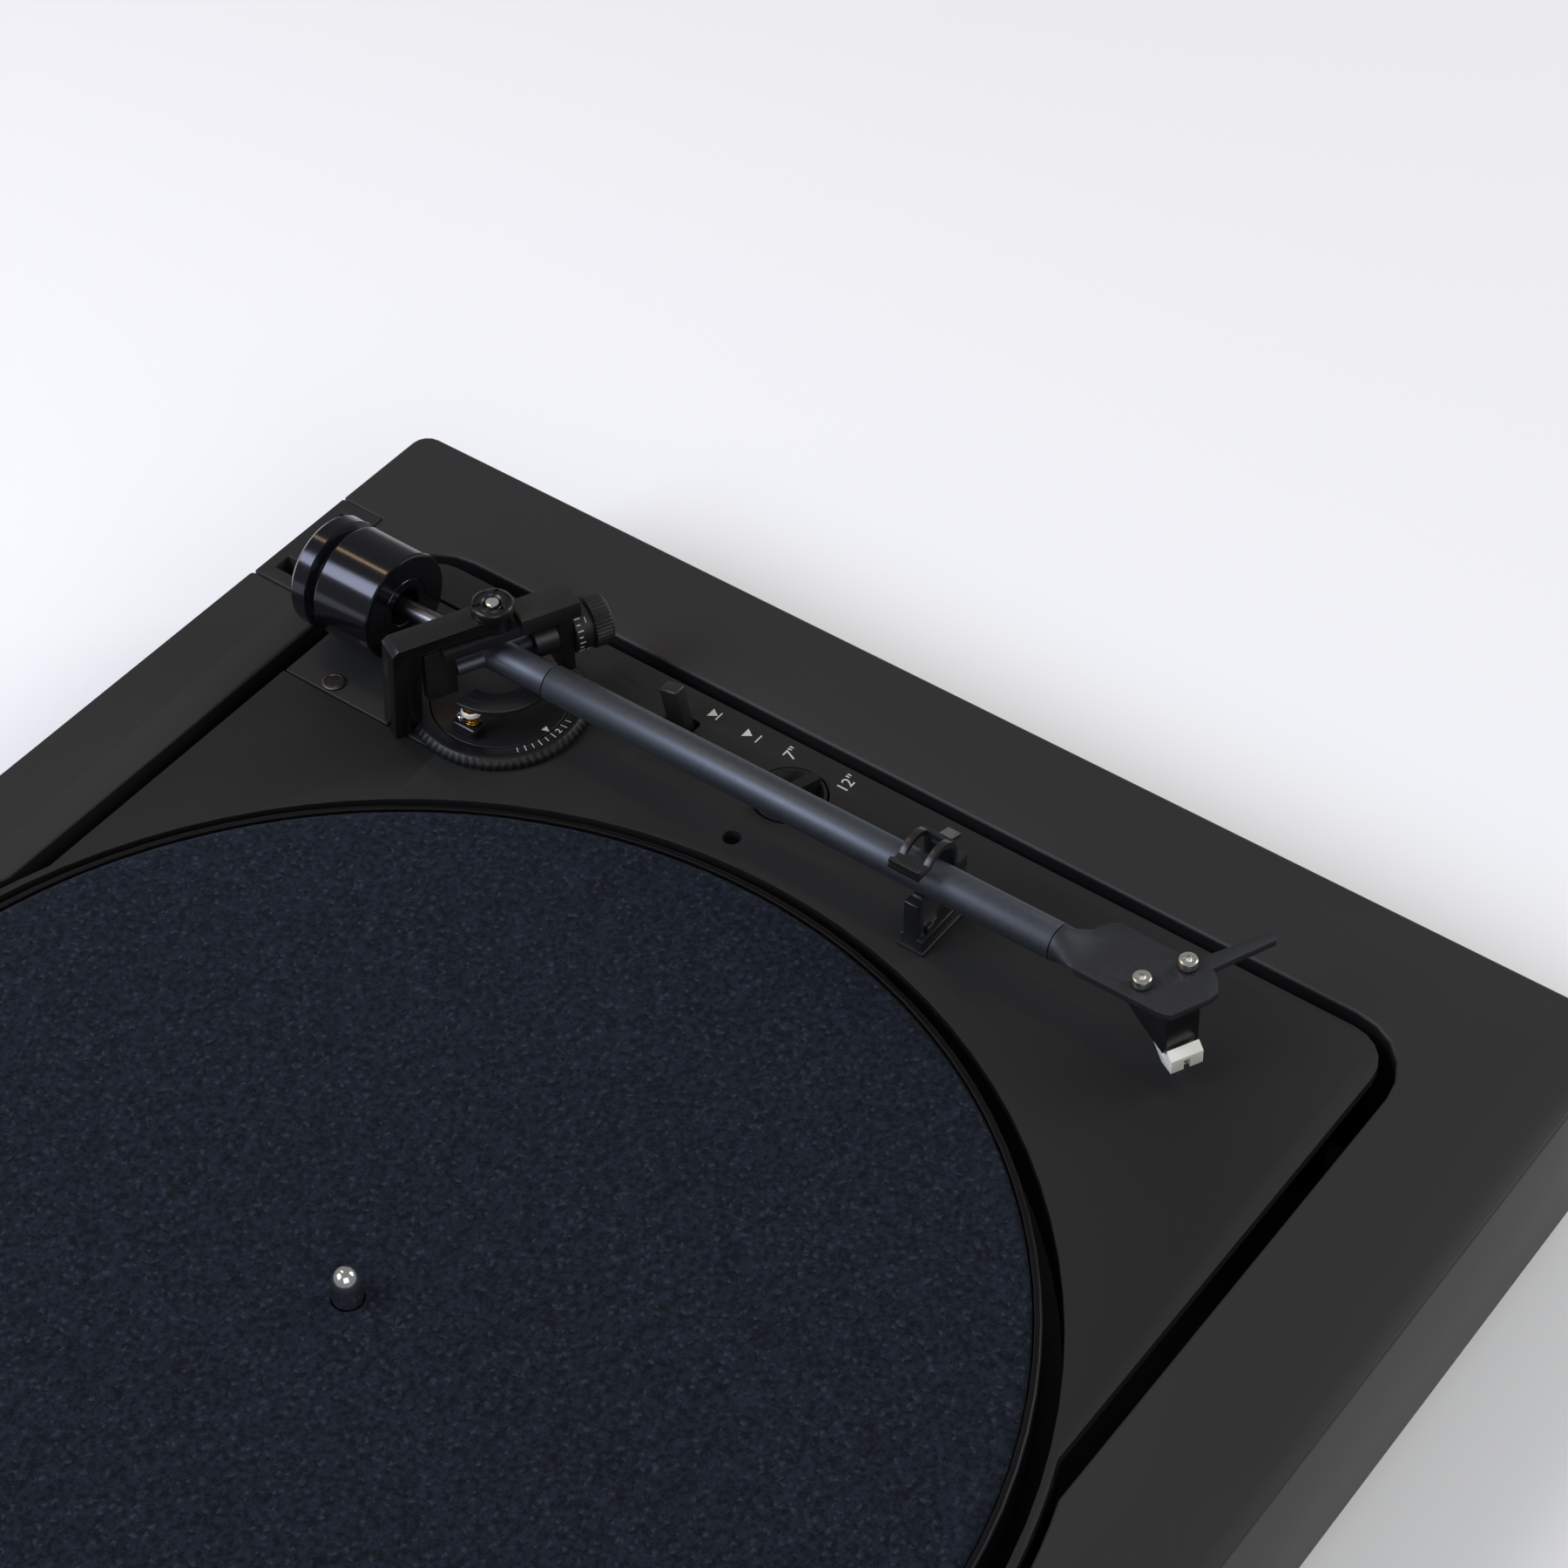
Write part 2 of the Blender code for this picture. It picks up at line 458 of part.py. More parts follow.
# ---------------------------------------------------------------- platter and drive
def platter():
    under = PLATTER_TOP - PLATTER_WEB
    inner = PLATTER_RADIUS - RIM_WALL
    step = PLATTER_RADIUS - RIM_STEP
    turned("platter", [(step, RIM_TOP), (PLATTER_RADIUS - 0.6, RIM_TOP), (PLATTER_RADIUS, RIM_TOP - 0.6),
                       (PLATTER_RADIUS, RIM_TOP - RIM_DEPTH), (inner, RIM_TOP - RIM_DEPTH), (inner, under),
                       (BORE_RADIUS, under), (BORE_RADIUS, PLATTER_TOP), (step, PLATTER_TOP)], ANODISED, sides=96)
    mat_low = PLATTER_TOP + GAP
    turned("felt_mat", [(step - GAP, mat_low + MAT_THICKNESS), (step - GAP, mat_low), (BORE_RADIUS, mat_low),
                        (BORE_RADIUS, mat_low + MAT_THICKNESS)], FELT, sides=96)
    top = under - GAP
    web_under = top - 2.4
    hub, hub_bottom = BORE_RADIUS + 5.1, -14.5
    rim_inner, rim_bottom = DRIVE_RADIUS - 2.5, -13.0
    turned("sub_platter", [(DRIVE_RADIUS, top), (DRIVE_RADIUS, rim_bottom), (rim_inner, rim_bottom),
                           (rim_inner, web_under), (hub, web_under), (hub, hub_bottom), (BORE_RADIUS, hub_bottom),
                           (BORE_RADIUS, top)], MATT_BLACK, sides=72)
    turned("spindle", [(0, SPINDLE_TOP), (1.6, SPINDLE_TOP - 0.4), (SPINDLE_RADIUS, SPINDLE_TOP - 4.0),
                       (SPINDLE_RADIUS, SPINDLE_BOTTOM), (0, SPINDLE_BOTTOM - 0.6)], STEEL, sides=24)
    flange, shaft = PULLEY_RADIUS + 1.2, 2.0
    turned("motor_pulley", [(0, -5.0), (flange, -5.0), (flange, -6.0), (PULLEY_RADIUS, -6.0), (PULLEY_RADIUS, -12.0),
                            (flange, -12.0), (flange, rim_bottom), (shaft, rim_bottom), (shaft, -WELL_DEPTH),
                            (0, -WELL_DEPTH)],
           BRASS, DECK @ Matrix.Translation((*PULLEY_PLACE, 0)), sides=28)

    lean = math.degrees(math.acos((DRIVE_RADIUS - PULLEY_RADIUS) / PULLEY_DISTANCE))

    def loop(extra):
        return (arc((0, 0), DRIVE_RADIUS + extra, PULLEY_ANGLE + lean, PULLEY_ANGLE + 360 - lean, 40)
                + arc(PULLEY_PLACE, PULLEY_RADIUS + extra, PULLEY_ANGLE - lean, PULLEY_ANGLE + lean, 12))
    middle = -9.0
    slab("drive_belt", [loop(GAP + BELT_THICKNESS), loop(GAP)], middle - BELT_HEIGHT / 2, middle + BELT_HEIGHT / 2,
         RUBBER)

    cam = DECK @ Matrix.Translation((*CAM_PLACE, 0))
    teeth = []
    for i in range(CAM_TEETH):
        for share, radius in ((0.0, -2.0), (0.28, 0.0), (0.5, 0.0), (0.78, -2.0)):
            angle = 2 * math.pi * (i + share) / CAM_TEETH
            teeth.append(((CAM_RADIUS + radius) * math.cos(angle), (CAM_RADIUS + radius) * math.sin(angle)))
    floor = -WELL_DEPTH + WELL_WALL
    slab("cam_gear", [teeth, circle((0, 0), 3.0, 16)], floor + 0.4, floor + 1.9, WHITE, cam)
    turned("cam_post", [(0, floor + 2.0), (2.6, floor + 2.0), (2.6, floor + GAP), (0, floor + GAP)], STEEL, cam,
           sides=16)


platter()


# ---------------------------------------------------------------- arm base, bracket and rest
def arm_base():
    turned("arm_base", [(0, RING_HEIGHT - 0.2), (RING_BORE - GAP, RING_HEIGHT - 0.2), (RING_BORE - GAP, 0.2),
                        (0, 0.2)], GLOSS_BLACK, PIVOT, sides=40)
    turned("anti_skate_ring", [(RING_RADIUS - 1.6, RING_HEIGHT), (RING_RADIUS, RING_HEIGHT - 2.0),
                               (RING_RADIUS, GAP), (RING_BORE, GAP), (RING_BORE, RING_HEIGHT)], GLOSS_BLACK, PIVOT,
           sides=60)

    # The bracket's side view, X along the lift axis and Y up from the panel.
    low_beam = BRACKET_TOP - BEAM_THICKNESS
    foot = -RING_RADIUS - 0.55
    back, step = foot - 4.3, RING_HEIGHT + 0.8
    side = [(back, 0.2), (foot, 0.2), (foot, step), (foot + 3.1, step), (foot + 3.1, low_beam), (0.0, low_beam),
            (0.0, BRACKET_TOP), (back + 1.5, BRACKET_TOP), (back, BRACKET_TOP - 1.5)]
    upright = (PIVOT @ Matrix.Rotation(math.radians(-GIMBAL_SKEW), 4, "Z")
               @ Matrix.Rotation(math.pi / 2, 4, "X"))
    bracket = slab("arm_bracket", [side], -3.9, 3.3, GLOSS_BLACK, upright)
    rake = 5.0
    for vertex in bracket.data.vertices:          # the post rakes back towards its foot
        if vertex.co.x < (foot + 3.6) * MM:
            vertex.co.z -= rake * (1 - vertex.co.y / (BRACKET_TOP * MM)) * MM
    combine(bracket, [cylinder("beam_end", 4.3, (0, 0, low_beam), (0, 0, BRACKET_TOP), GLOSS_BLACK, PIVOT,
                               sides=28)], "UNION")
    cap_bottom, screw_top = BRACKET_TOP + GAP, CAP_TOP + 0.2
    turned("pivot_cap", [(2.2, CAP_TOP), (4.9, CAP_TOP), (5.4, CAP_TOP - 0.6), (5.4, cap_bottom), (2.2, cap_bottom)],
           GLOSS_BLACK, PIVOT, sides=28)
    turned("pivot_screw", [(0, screw_top), (1.9, screw_top), (1.9, cap_bottom), (0, cap_bottom)], STEEL, PIVOT,
           sides=20)

    block_bottom = RING_HEIGHT + 0.1
    block_top = block_bottom + 2.9
    box("lift_block", (-15.8, -4.8, block_bottom), (-11.0, 2.6, block_top), GLOSS_BLACK, PIVOT, bevel=0.5)
    screw = PIVOT @ Matrix.Translation((-13.2, -2.2, block_top + GAP))
    tip = LIFT_PLATE_TOP - LIFT_PLATE_THICKNESS - 0.35 - (block_top + GAP)
    turned("lift_screw", [(0, tip), (2.3, tip), (2.3, tip - 1.5), (1.2, tip - 1.8), (1.2, 0.7), (1.9, 0.7), (1.9, 0.0),
                          (0, 0)], BRASS, screw, sides=16)


def lift_plate():
    """Fan-shaped plate under the tube, with the screw's nut just below it."""
    fan = (arc((0, 0), LIFT_PLATE_RADIUS, 176, 284, 14) + arc((0, 0), 8.2, 284, 176, 8))
    slab("lift_plate", [fan], LIFT_PLATE_TOP - LIFT_PLATE_THICKNESS, LIFT_PLATE_TOP, MATT_BLACK, PIVOT)


def rest():
    """Low bar on a flange, a post and saddle beside the tube, and the latch's barrel."""
    left, right = REST_X - 5.4, REST_X - 5.4 + REST_WIDTH
    rear, front = REST_Y + REST_DEPTH / 2, REST_Y - REST_DEPTH / 2
    under = REST_AXIS_Z - TUBE_RADIUS
    base = box("arm_rest", (left, front, 0.2), (right, rear, 4.2), GLOSS_BLACK)
    parts = [box("rest_post", (left, front + 1.5, 4), (left + 3.0, rear - 1.0, under - 1.2), GLOSS_BLACK),
             box("rest_saddle", (left + 2.6, front + 2.0, 4), (REST_X + 3.4, rear - 1.5, under - 0.6), GLOSS_BLACK),
             box("rest_stub", (LATCH_X - 1.5, -CHEEK_INNER + GAP + REST_Y, 4),
                 (LATCH_X + 4.6, CHEEK_INNER - GAP + REST_Y, LATCH_Z - 2.4), GLOSS_BLACK),
             cylinder("rest_barrel", 1.5, (LATCH_X, REST_Y - CHEEK_INNER + GAP, LATCH_Z),
                      (LATCH_X, REST_Y + CHEEK_INNER - GAP, LATCH_Z), GLOSS_BLACK, sides=16),
             box("rest_web", (LATCH_X - 1.1, REST_Y - CHEEK_INNER + GAP, LATCH_Z - 3),
                 (LATCH_X + 1.1, REST_Y + CHEEK_INNER - GAP, LATCH_Z - 0.6), GLOSS_BLACK)]
    combine(base, parts, "UNION")


def latch():
    """Two hoops over the tube, a flat tab at the left and a finger tab at the right."""
    side = DECK @ Matrix.Translation((0, REST_Y, 0)) @ Matrix.Rotation(math.pi / 2, 4, "X")
    hoop_x, hoop_z = REST_X + 0.3, REST_AXIS_Z + 4.3
    inner, outer = TUBE_RADIUS + 0.6, TUBE_RADIUS + 2.0
    wall, edge = hoop_x + inner + 0.1, hoop_x + outer
    band = (arc((hoop_x, hoop_z), outer, -8, 140, 12) + arc((hoop_x, hoop_z), inner, 140, -8, 12))
    latch_side = CHEEK_INNER + CHEEK
    hoop = slab("rest_latch", [band], CHEEK_INNER, latch_side, GLOSS_BLACK, side)
    joins = [slab("rear_hoop", [band], -latch_side, -CHEEK_INNER, GLOSS_BLACK, side),
             box("left_tab", (hoop_x - 9.4, REST_Y - latch_side, hoop_z + 3.2),
                 (hoop_x - 4.0, REST_Y + latch_side, hoop_z + 4.4), GLOSS_BLACK),
             box("right_rib", (wall, REST_Y - latch_side, LATCH_Z - 1.0), (edge, REST_Y + latch_side, hoop_z + 0.4),
                 GLOSS_BLACK),
             box("tab_rib", (hoop_x + 3.9, REST_Y - latch_side, hoop_z + 3.4),
                 (hoop_x + 5.2, REST_Y + latch_side, hoop_z + 4.9), GLOSS_BLACK),
             box("finger_tab", (0, -1.8, 0), (5.0, 1.8, 1.1), GLOSS_BLACK,
                 DECK @ Matrix.Translation((hoop_x + 4.3, REST_Y - 1.5, hoop_z + 3.8))
                 @ Matrix.Rotation(math.radians(20), 4, "Y"))]
    for low in (REST_Y - latch_side, REST_Y + CHEEK_INNER):
        joins.append(box("cheek", (wall, low, LATCH_Z - 1.6), (LATCH_X + 1.6, low + CHEEK, LATCH_Z + 1.6),
                         GLOSS_BLACK))
    combine(hoop, joins, "UNION")


arm_base()
lift_plate()
rest()
latch()


# ---------------------------------------------------------------- swinging gimbal
def gimbal():
    """A yoke round the tube: a top bar under the bracket, a leg on each side."""
    up = PIVOT_HEIGHT
    frame = box("gimbal_frame", (-15.0, -4.2, LEG_TOP - up), (21.3, 4.2, BRACKET_TOP - BEAM_THICKNESS - 0.5 - up),
                MATT_BLACK, GIMBAL)
    parts = [box("gimbal_block", (5.3, -5.2, LEG_TOP + 1 - up), (21.2, 3.4, 31.0 - up), MATT_BLACK, GIMBAL),
             box("gimbal_leg", (15.5, -4.6, LEG_BOTTOM - up), (19.0, 3.4, LEG_TOP + 1 - up), MATT_BLACK, GIMBAL),
             box("gimbal_lug", (-19.4, -1.5, 12.0 - up), (-11.4, 1.5, 27.0 - up), MATT_BLACK, GIMBAL),
             cylinder("spring_housing", 4.4, (9.4, 0, 0), (16.0, 0, 0), MATT_BLACK, GIMBAL, sides=24)]
    combine(frame, parts, "UNION")
    face = GIMBAL @ Matrix.Translation((19.4, 0, 0)) @ Matrix.Rotation(math.pi / 2, 4, "Y")
    turned("tracking_dial", [(0, 10.4), (6.2, 10.4), (6.8, 9.8), (6.8, 5.0), (5.4, 5.0), (5.4, 4.4), (6.2, 4.4),
                             (6.2, 0.0), (0, 0.0)], GLOSS_BLACK, face, sides=40)


gimbal()


# ---------------------------------------------------------------- tube, head and cartridge
def loft(name, sections, material, frame):
    """Skin between sections with the same number of points, closed at both ends."""
    mesh = bpy.data.meshes.new(name)
    body = bmesh.new()
    rings = [[body.verts.new(point) for point in section] for section in sections]
    count = len(rings[0])
    for first, second in zip(rings, rings[1:]):
        for i in range(count):
            body.faces.new((first[i], first[(i + 1) % count], second[(i + 1) % count], second[i]))
    body.faces.new(rings[0])
    body.faces.new(rings[-1])
    bmesh.ops.recalc_face_normals(body, faces=body.faces)
    body.to_mesh(mesh)
    body.free()
    return add(name, mesh, material, frame)


def neck_section(x, half_width, half_height, shift_y, shift_z):
    """Oval ring round the neck, x along the arm."""
    points = []
    for i in range(20):
        angle = 2 * math.pi * i / 20
        points.append((x, shift_y + half_width * math.cos(angle), shift_z + half_height * math.sin(angle)))
    return points


def tube_and_head():
    sleeve_front, sleeve_rear = TUBE_START - 0.4, -8.0
    sleeve = turned("arm_sleeve", [(0, sleeve_front), (SLEEVE_RADIUS, sleeve_front), (SLEEVE_RADIUS, sleeve_rear),
                                   (0, sleeve_rear)], ANODISED, TURN_ALONG, sides=28)
    axle = cylinder("tube_axle", 2.0, (-11.0, 0, 0), (9.0, 0, 0), MATT_BLACK, GIMBAL, sides=16)
    combine(sleeve, [axle], "UNION")
    turned("arm_tube", [(0, TUBE_END), (TUBE_RADIUS, TUBE_END), (TUBE_RADIUS, TUBE_START), (0, TUBE_START)],
           ANODISED, TURN_ALONG, sides=32)
    rear = WEIGHT_FRONT - WEIGHT_LENGTH
    rod_start, rod_end = sleeve_rear - GAP, rear + WEIGHT_BACK + WEIGHT_TRAVEL
    turned("weight_rod", [(0, rod_start), (ROD_RADIUS, rod_start), (ROD_RADIUS, rod_end), (0, rod_end)], STEEL,
           TURN_ALONG, sides=16)
    bore, mouth, mouth_end = ROD_RADIUS + GAP, 5.0, WEIGHT_FRONT - 6
    flange = WEIGHT_RADIUS + 0.2
    turned("counterweight", [(mouth, WEIGHT_FRONT), (WEIGHT_RADIUS - 0.8, WEIGHT_FRONT),
                             (WEIGHT_RADIUS, WEIGHT_FRONT - 0.8), (WEIGHT_RADIUS, rear + 8.2),
                             (WEIGHT_RADIUS - 1.8, rear + 6.8), (flange, rear + 5.4), (flange, rear + 1.0),
                             (WEIGHT_RADIUS - 0.8, rear), (0, rear), (0, rear + WEIGHT_BACK),
                             (bore, rear + WEIGHT_BACK), (bore, mouth_end), (mouth, mouth_end)],
           ANODISED, TURN_ALONG, sides=48)

    start = TUBE_END + 0.3
    middle = (HEAD_LEFT + HEAD_RIGHT) / 2
    half = (HEAD_RIGHT - HEAD_LEFT) / 2
    flat = (PLATE_TOP - PLATE_BOTTOM) / 2
    flat_z = (PLATE_TOP + PLATE_BOTTOM) / 2
    head = loft("headshell", [neck_section(start, TUBE_RADIUS, TUBE_RADIUS, 0, 0),
                              neck_section(start + 2.0, TUBE_RADIUS + 0.1, 3.9, 0.1, 0.1),
                              neck_section(start + 5.0, 6.6, 2.2, 1.6, 0.0),
                              neck_section(start + 8.0, half - 0.4, 1.2, middle - 0.3, flat_z + 0.1),
                              neck_section(start + 11.0, half - 1.5, flat * 0.9, middle, flat_z)],
                ANODISED, ARM)
    outline = [(start + 4.6, -3.2), (start + 7.4, HEAD_LEFT + 0.2), (start + 9.4, HEAD_LEFT), (197.8, HEAD_LEFT),
               (199.8, HEAD_LEFT + 0.3), (201.2, -4.4), (205.5, 5.0), (205.9, 7.6), (203.7, 10.8), (201.0, 13.1),
               (207.9, 28.9), (207.1, 30.5), (205.4, 30.1), (196.7, 13.8), (194.1, HEAD_RIGHT),
               (start + 8.6, HEAD_RIGHT), (start + 6.6, HEAD_RIGHT - 1.3), (start + 4.6, 8.6)]
    cosine, sine = math.cos(math.radians(HEAD_OFFSET)), math.sin(math.radians(HEAD_OFFSET))
    screw_places = [(CARTRIDGE_DISTANCE - SCREW_SETBACK * cosine + side * sine,
                     -0.2 + SCREW_SETBACK * sine + side * cosine) for side in SCREW_OFFSETS]
    holes = [circle(place, 1.5, 12) for place in screw_places]
    plate = slab("head_plate", [outline] + holes, PLATE_BOTTOM, PLATE_TOP, ANODISED, ARM)
    combine(head, [plate], "UNION")

    body_top = PLATE_BOTTOM - GAP

    def across(f, half_width, low):
        return [(f, -half_width, low), (f, half_width, low), (f, half_width, body_top), (f, -half_width, body_top)]
    loft("cartridge", [across(-18.0, 7.0, -7.0), across(-9.0, 6.3, -9.9), across(-1.3, 4.4, -14.6),
                       across(0.0, 4.3, -11.8)], GLOSS_BLACK, CART)
    holder_side = [(2.6, -17.7), (2.6, -13.8), (0.4, -12.1), (0.4, -12.9), (-1.0, -15.1), (-8.6, -10.5),
                   (-9.2, -11.6), (-1.6, -17.7)]
    upright = CART @ Matrix.Rotation(math.pi / 2, 4, "X")
    holder = slab("stylus_holder", [holder_side], -4.2, 4.2, WHITE, upright)
    combine(holder, [box("cut_notch", (-1.9, -0.8, -19), (4, 0.8, -14.9), WHITE, CART, CUTTERS)], "DIFFERENCE")
    stylus = cylinder("stylus", 0.4, (-1.4, 0, -15.7), (1.8, 0, -17.2), ALUMINIUM, CART, sides=10)
    tip = cylinder("stylus_tip", 0.35, (1.5, 0, -16.8), (1.6, 0, -17.9), ALUMINIUM, CART, sides=10, top=0.12)
    combine(stylus, [tip], "UNION")

    shank, head_radius = 1.1, 2.3
    for side, (x, y) in zip(("left", "right"), screw_places):
        turned("cartridge_screw_" + side,
               [(0, PLATE_TOP + 1.4), (shank, PLATE_TOP + 1.4), (shank, PLATE_TOP + 2.6),
                (head_radius - 0.2, PLATE_TOP + 2.6), (head_radius, PLATE_TOP + 2.3), (head_radius, PLATE_TOP + GAP),
                (shank, PLATE_TOP + GAP), (shank, PLATE_BOTTOM), (0, PLATE_BOTTOM)],
               STEEL, ARM @ Matrix.Translation((x, y, 0)), sides=18)


tube_and_head()


# ---------------------------------------------------------------- controls
def controls():
    hinge = DECK @ Matrix.Translation((LEVER_X, LEVER_Y, -PANEL_THICKNESS / 2))
    box("cue_lever", (-2.0, -LEVER_DEPTH / 2, -3.5), (2.0, LEVER_DEPTH / 2, 12.6), GLOSS_BLACK,
        hinge @ Matrix.Rotation(math.radians(-LEVER_LEAN), 4, "X"), bevel=0.4)

    knob = DECK @ Matrix.Translation((KNOB_X, KNOB_Y, 0))
    dish = turned("size_knob", [(KNOB_RADIUS - 0.8, 0.2), (KNOB_RADIUS, 0.2), (KNOB_RADIUS, -6.0), (0, -6.0),
                                (0, -3.4), (KNOB_RADIUS - 2.6, -3.0)], GLOSS_BLACK, knob, sides=36)
    reach = KNOB_RADIUS - 1.1
    bar = box("knob_bar", (-reach, -1.55, -4.2), (reach, 1.55, 2.5), GLOSS_BLACK,
              knob @ Matrix.Rotation(math.radians(-19.5), 4, "Z"))
    combine(dish, [bar], "UNION")

    shaft, shaft_bottom = 2.6, -PANEL_THICKNESS - 1.5
    turned("speed_knob", [(0, 9.0), (8.2, 9.0), (8.8, 8.4), (9.2, GAP), (shaft, GAP), (shaft, shaft_bottom),
                          (0, shaft_bottom)], GLOSS_BLACK, DECK @ Matrix.Translation((SPEED_X, SPEED_Y, 0)), sides=32)
    parked = DECK @ Matrix.Translation((START_X - 7.5, START_Y, 0))
    slider = box("start_lever", (-4.0, -2.6, GAP), (4.0, 2.6, 6.0), GLOSS_BLACK, parked)
    stem = box("start_stem", (-1.2, -1.1, -PANEL_THICKNESS - 2), (1.2, 1.1, 1.0), GLOSS_BLACK, parked)
    combine(slider, [stem], "UNION")


controls()
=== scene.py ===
import json
import math

import bpy
from mathutils import Matrix, Vector, noise


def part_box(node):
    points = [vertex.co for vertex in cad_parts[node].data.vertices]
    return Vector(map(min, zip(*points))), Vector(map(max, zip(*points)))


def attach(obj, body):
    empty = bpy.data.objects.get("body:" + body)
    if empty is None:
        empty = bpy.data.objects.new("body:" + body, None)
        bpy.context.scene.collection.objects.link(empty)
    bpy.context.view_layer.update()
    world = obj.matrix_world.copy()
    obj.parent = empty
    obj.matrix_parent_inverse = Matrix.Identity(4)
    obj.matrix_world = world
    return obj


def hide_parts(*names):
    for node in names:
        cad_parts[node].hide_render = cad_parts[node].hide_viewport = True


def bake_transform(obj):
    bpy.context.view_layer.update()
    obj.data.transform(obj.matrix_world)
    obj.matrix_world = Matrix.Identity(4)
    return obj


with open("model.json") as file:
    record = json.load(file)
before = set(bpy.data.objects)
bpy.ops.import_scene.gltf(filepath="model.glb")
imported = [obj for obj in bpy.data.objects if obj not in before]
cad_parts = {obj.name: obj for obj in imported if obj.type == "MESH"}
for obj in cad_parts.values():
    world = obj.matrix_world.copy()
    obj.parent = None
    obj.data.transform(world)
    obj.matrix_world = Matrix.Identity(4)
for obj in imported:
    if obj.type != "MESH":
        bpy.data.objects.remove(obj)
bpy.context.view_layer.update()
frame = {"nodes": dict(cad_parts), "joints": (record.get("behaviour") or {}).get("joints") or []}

# ---------------------------------------------------------------- camera
# The view looks down over the near left corner of the player at the tonearm and
# the head, with the platter running out of the picture at the lower left.
view_azimuth, view_elevation, view_roll = map(math.radians, (-52.823, 45.178, -0.916))
away = Vector((math.sin(view_azimuth) * math.cos(view_elevation),
               -math.cos(view_azimuth) * math.cos(view_elevation), math.sin(view_elevation)))
level = away.cross(Vector((0, 0, -1))).normalized()
above = away.cross(level)
camera_place = (-0.36421, -0.37693, 0.72712)
lens_mm, sensor_mm = 87.93, 36.0
camera_data = bpy.data.cameras.new("camera")
camera_data.lens = lens_mm
camera_data.sensor_width = sensor_mm
camera_data.clip_start = 0.05
camera = bpy.data.objects.new("camera", camera_data)
bpy.context.scene.collection.objects.link(camera)
right = level * math.cos(view_roll) + above * math.sin(view_roll)
upright = above * math.cos(view_roll) - level * math.sin(view_roll)
camera_turn = Matrix((right, upright, away)).transposed().to_4x4()
camera.matrix_world = Matrix.Translation(camera_place) @ camera_turn
bpy.context.scene.camera = camera


# ---------------------------------------------------------------- studio
# A pale seamless floor under large soft lights: a cool one behind on the left,
# which draws the long highlight down the tube, a warm strip over the rear, and
# a broad dim one in front that lifts the upright faces.
def tint(code):
    """An sRGB hex colour as linear RGBA."""
    channels = [int(code[i:i + 2], 16) / 255 for i in (1, 3, 5)]
    return tuple(c / 12.92 if c < 0.04045 else ((c + 0.055) / 1.055) ** 2.4 for c in channels) + (1.0,)


def add_node(material, kind, settings=None, links=None):
    """Add a node with its settings and links; a number or a name says which input."""
    node = material.node_tree.nodes.new(kind)
    for key, value in (settings or {}).items():
        if isinstance(key, int) or key in node.inputs:
            node.inputs[key].default_value = value
        else:
            setattr(node, key, value)
    for key, source in (links or {}).items():
        material.node_tree.links.new(source, node.inputs[key])
    return node


def deselect():
    bpy.ops.object.select_all(action="DESELECT")


floor_side = 6.0
sky_strength = 0.33
deselect()
bpy.ops.mesh.primitive_plane_add(size=floor_side)
floor = bpy.context.object
floor.name = "studio_floor"
floor_paint = bpy.data.materials.new("floor_paint")
floor_paint.use_nodes = True
floor_paint.node_tree.nodes["Principled BSDF"].inputs["Base Color"].default_value = tint("#ffffff")
floor_paint.node_tree.nodes["Principled BSDF"].inputs["Roughness"].default_value = 0.9
floor.data.materials.append(floor_paint)

world = bpy.data.worlds.new("studio")
bpy.context.scene.world = world
world.use_nodes = True
world.node_tree.nodes["Background"].inputs["Color"].default_value = tint("#eef0f4")
world.node_tree.nodes["Background"].inputs["Strength"].default_value = sky_strength
bpy.context.scene.view_settings.view_transform = "Standard"
aim = Vector((0.06, 0.02, 0.06))
for name, place, width, height, watts, colour in (
        ("key_rear_left", (-0.85, 0.75, 1.10), 0.9, 0.6, 18.0, "#e6edff"),
        ("warm_strip", (0.22, 0.75, 1.30), 0.10, 0.5, 1.6, "#ffd9a0"),
        ("front_fill", (-0.9, -1.3, 1.3), 1.4, 1.0, 10.0, "#ffffff"),
        ("right_wash", (1.6, -0.9, 1.2), 0.8, 0.8, 12.0, "#ffffff")):
    lamp_data = bpy.data.lights.new(name, "AREA")
    lamp_data.shape = "RECTANGLE"
    lamp_data.size, lamp_data.size_y = width, height
    lamp_data.energy = watts
    lamp_data.color = tint(colour)[:3]
    lamp = bpy.data.objects.new(name, lamp_data)
    bpy.context.scene.collection.objects.link(lamp)
    lamp.location = place
    lamp.rotation_euler = (aim - Vector(place)).to_track_quat("-Z", "Y").to_euler()


# ---------------------------------------------------------------- plinth
# The frame is medium-density fibreboard in a satin black lacquer, its edges
# eased by sanding; a pressed board closes it underneath.
mm = 0.001
nodes = frame["nodes"]


def per_metre(size_mm):
    """How many grains of this size lie in a metre, which is a noise's scale."""
    return 1.0 / (size_mm * mm)


